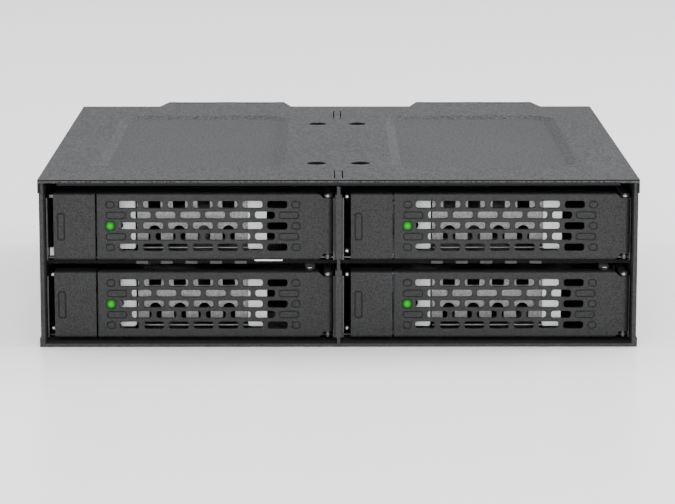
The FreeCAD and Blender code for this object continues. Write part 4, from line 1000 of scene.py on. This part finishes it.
def add_screws(name, node, sizes, turn, face):
    """Replaces a node's screws by ones with a cross recess; face picks the middle of each head."""
    spots = [tuple(turn.inverted() @ face(*ends)) for ends in solids_of(node)]
    values = dict(zip(SCREW_SIZES, sizes)) | {"Finish": oxide}
    mesh = run_tree(points_mesh(spots), screws_on_points, name, values)
    mesh.transform(turn.to_4x4())
    add_piece(name, mesh, "cage", [node])


def top_of(corner, far):
    """The middle of a solid's top, a little sunk."""
    return Vector(((corner.x + far.x) / 2, (corner.y + far.y) / 2, far.z - 0.04))


def rear_of(corner, far):
    """The middle of a solid's rear."""
    return Vector(((corner.x + far.x) / 2, far.y, (corner.z + far.z) / 2))


def add_rotor(number, tree):
    """A hub on its shaft with seven cambered blades."""
    node = "fan_%d_rotor" % number
    corner, far = span(node)
    middle = (corner + far) / 2
    hub, start, depth = 11.0, corner.y, 6.8
    end = start + depth
    profile = [(0, start), (2.2, start), (2.4, start + 0.25), (hub - 1.2, start + 0.25), (hub, start + 1.3),
               (hub, end - 0.3), (hub - 0.3, end), (1.0, end), (1.0, far.y), (0, far.y)]
    body = turned("hub", "y", profile, (middle.x, middle.z), plastic, 48)
    values = {"Hub Radius": hub - 0.4, "Tip Radius": (far.x - corner.x) / 2 - 0.15, "Chord": 9.6,
              "Hub Pitch": radians(42), "Tip Pitch": radians(27), "Camber": 3.2, "Thickness": 0.7,
              "Count": 7, "Finish": plastic}
    blades = run_tree(points_mesh([]), tree, "blades", values)
    blades.transform(Matrix.Translation((middle.x, start + depth / 2 - 0.6, middle.z))
                     @ Matrix.Rotation(radians(-90), 4, "X"))
    smooth(blades, 40)
    add_piece("fan_%d_blades" % number, joined("rotor", [body, blades]), "fan_%d" % number,
              [node])


# Small parts in the gaps.
def add_shelf_teeth():
    """Short comb teeth hung under each shelf's front edge, between the slots."""
    for side, number in (("left", 1), ("right", 2)):
        corner = span("%s_shelf" % side)[0]
        first = tray_origin(number).x + SLOT_FIRST + SLOT_PITCH / 2
        start = (first, corner.y - 0.25, corner.z + 0.35)
        teeth = block_row("teeth", 2.9, 0.5, 0.7, SLOT_PITCH, 5, start, cut_edge)
        add_piece("%s_shelf_teeth" % side, teeth, "cage")


def add_springs():
    """Bent contact springs that hang over the right end of each door."""
    ceiling, cover = span("left_shelf")[0].z, high[2] / MM - SPRING_DROP
    line = ((13.0, 0.05), (11.5, 0.1), (9.0, 0.7), (7.0, 1.25), (5.8, 1.45), (4.9, 1.25), (4.4, 0.9))
    for number in TRAYS:
        start = cover if number < 3 else ceiling
        origin = tray_origin(number)
        form = bmesh.new()
        rings = []
        for index, (back, drop) in enumerate(line):
            half = SPRING_HALF - 0.25 * max(0, index - 3)
            middle = origin.x + 62.5
            rings.append([form.verts.new((middle + side * half, origin.y + back, start - drop + rise))
                          for side, rise in ((-1, 0), (1, 0), (1, -0.2), (-1, -0.2))])
        bridged(form, rings)
        mesh = finished(form, "contact_spring", zinc)
        add_piece("contact_spring_%d" % number, mesh, "cage")


def add_tongue_gap_shades():
    """Dark green strips in the long notches of the cover's two rear tongues: painted shade standing in for
    the dark gaps there.
    """
    for number in (1, 2):
        corner, far = span("fan_%d_frame" % number)
        middle, reach = (corner.x + far.x) / 2, (far.x - corner.x) / 2 - 5.4
        strips = []
        for sign in (-1, 1):
            ends = sorted((middle + sign * 2.9, middle + sign * reach))
            strips.append(box_mesh("strip", ends, (far.y - 2.8, far.y - 0.02),
                                   (far.z - 0.3, high[2] / MM - 0.05), gap_shade_green, 0.1))
        add_piece("tongue_gap_shade_%d" % number, joined("gap_shade_strips", strips), "cage")


def add_contacts():
    """A tongue with gold contact strips inside each connector at the back."""
    for node, count in (("data_ports", 7), ("power_ports", 11)):
        parts = []
        reach = CONTACT_PITCH * (count - 1) / 2
        for corner, far in solids_of(node):
            middle, back = (corner + far) / 2, far.y - 1.6
            long_x, long_z = ((mid - reach - 1.0, mid + reach + 1.0) for mid in (middle.x, middle.z))
            strips = block_row("strips", 0.7, 3.6, 0.1, CONTACT_PITCH, count, (-reach, 0, 0), gold)
            if far.z - corner.z > far.x - corner.x:
                across, up = (middle.x - 0.5, middle.x + 0.1), long_z
                strips.transform(Matrix.Rotation(radians(-90), 4, "Y"))
                strips.transform(Matrix.Translation((middle.x + 0.15, back - 2.0, middle.z)))
            else:
                across, up = long_x, (middle.z - 0.1, middle.z + 0.5)
                strips.transform(Matrix.Translation((middle.x, back - 2.0, middle.z - 0.15)))
            parts += [box_mesh("tongue", across, (far.y - 6.4, back), up, plastic, 0.08), strips]
        add_piece(node[:-1] + "_contacts", joined("contacts", parts), "cage")


# Stage.
def add_light(name, size, place, aim_height, power):
    """A rectangular area light pointed at a height above the origin."""
    data = bpy.data.lights.new(name, "AREA")
    data.shape = "RECTANGLE"
    data.size, data.size_y = size
    data.energy = power
    lamp = new_object(name, data)
    lamp.location = place
    lamp.rotation_euler = (Vector(place) - Vector((0, 0, aim_height))).to_track_quat("Z", "Y").to_euler()


def make_stage():
    """Camera at the viewing angle, pale floor and surroundings, and four broad lights."""
    scene = bpy.context.scene
    data = bpy.data.cameras.new("view")
    data.lens = 156.0
    data.sensor_width = 36.0
    camera = new_object("view", data)
    camera.location = (-2.6 * MM, low[1] - 699.8 * MM, high[2] + 108.8 * MM)
    camera.rotation_euler = (radians(90 - 10.25), 0, radians(-0.19))
    scene.camera = camera
    bpy.ops.mesh.primitive_plane_add(size=12, location=(0, 0, low[2] - 0.05 * MM))
    floor = bpy.context.object
    floor.name = "floor"
    floor.data.materials.append(speckled("pale_floor", grey(0.96), 0.28, 400,
                                         [(0.3, grey(0.95)), (0.7, grey(0.97))], detail=1.0))
    world = bpy.data.worlds.new("studio")
    world.use_nodes = True
    sky = world.node_tree.nodes["Background"].inputs
    sky["Color"].default_value = (1, 1, 1, 1)
    sky["Strength"].default_value = 1.05
    scene.world = world
    for light in (("overhead", (1.6, 1.2), (0, 0.35, 1.1), 0, 13),
                  ("front_softbox", (1.8, 1.0), (0, -1.5, 0.42), 0.02, 34),
                  ("right_softbox", (0.9, 0.6), (1.5, 0.1, 0.33), 0.04, 72),
                  ("left_softbox", (0.9, 0.6), (-1.5, 0.1, 0.33), 0.04, 26)):
        add_light(*light)


paint_cad_nodes()
add_to_trays("door", door_mesh(), "lever_%d", "lever")
add_to_trays("light", light_mesh(), "lever_%d", "light_lens")
add_to_trays("button_cap", button_mesh(), "button_%d", "button")
plates, pads = vent_meshes()
add_to_trays("vent_plate", plates, "tray_%d", "front_bracket")
add_to_trays("vent_pads", pads, "tray_%d")
add_to_trays("latch_guide", guide_mesh(), "tray_%d", trays=(1,))
add_to_trays("latch_rivets", rivet_mesh(), "tray_%d", trays=(2, 3, 4))
add_to_trays("pull_tab", tab_mesh(), "tray_%d", trays=(1,))
add_to_trays("hinge_ears", hinge_mesh(), "tray_%d", "hinge_bracket")
upright = Matrix.Identity(3)
rearward = Matrix.Rotation(radians(-90), 3, "X")
add_screws("cover_screw_heads", "cover_screws", (2.25, 0.2, 1.25, 0.4, 0.7, 0.6, 1.45, 2.3), upright, top_of)
add_screws("fan_screw_heads", "fan_screws", (2.35, 1.35, 1.3, 0.4, 0.8, 0.05, 1.45, 8.4), rearward, rear_of)
add_shelf_teeth()
add_springs()
add_tongue_gap_shades()
add_contacts()
rotor_tree = blade_tree()
for fan_number in (1, 2):
    add_rotor(fan_number, rotor_tree)
make_stage()
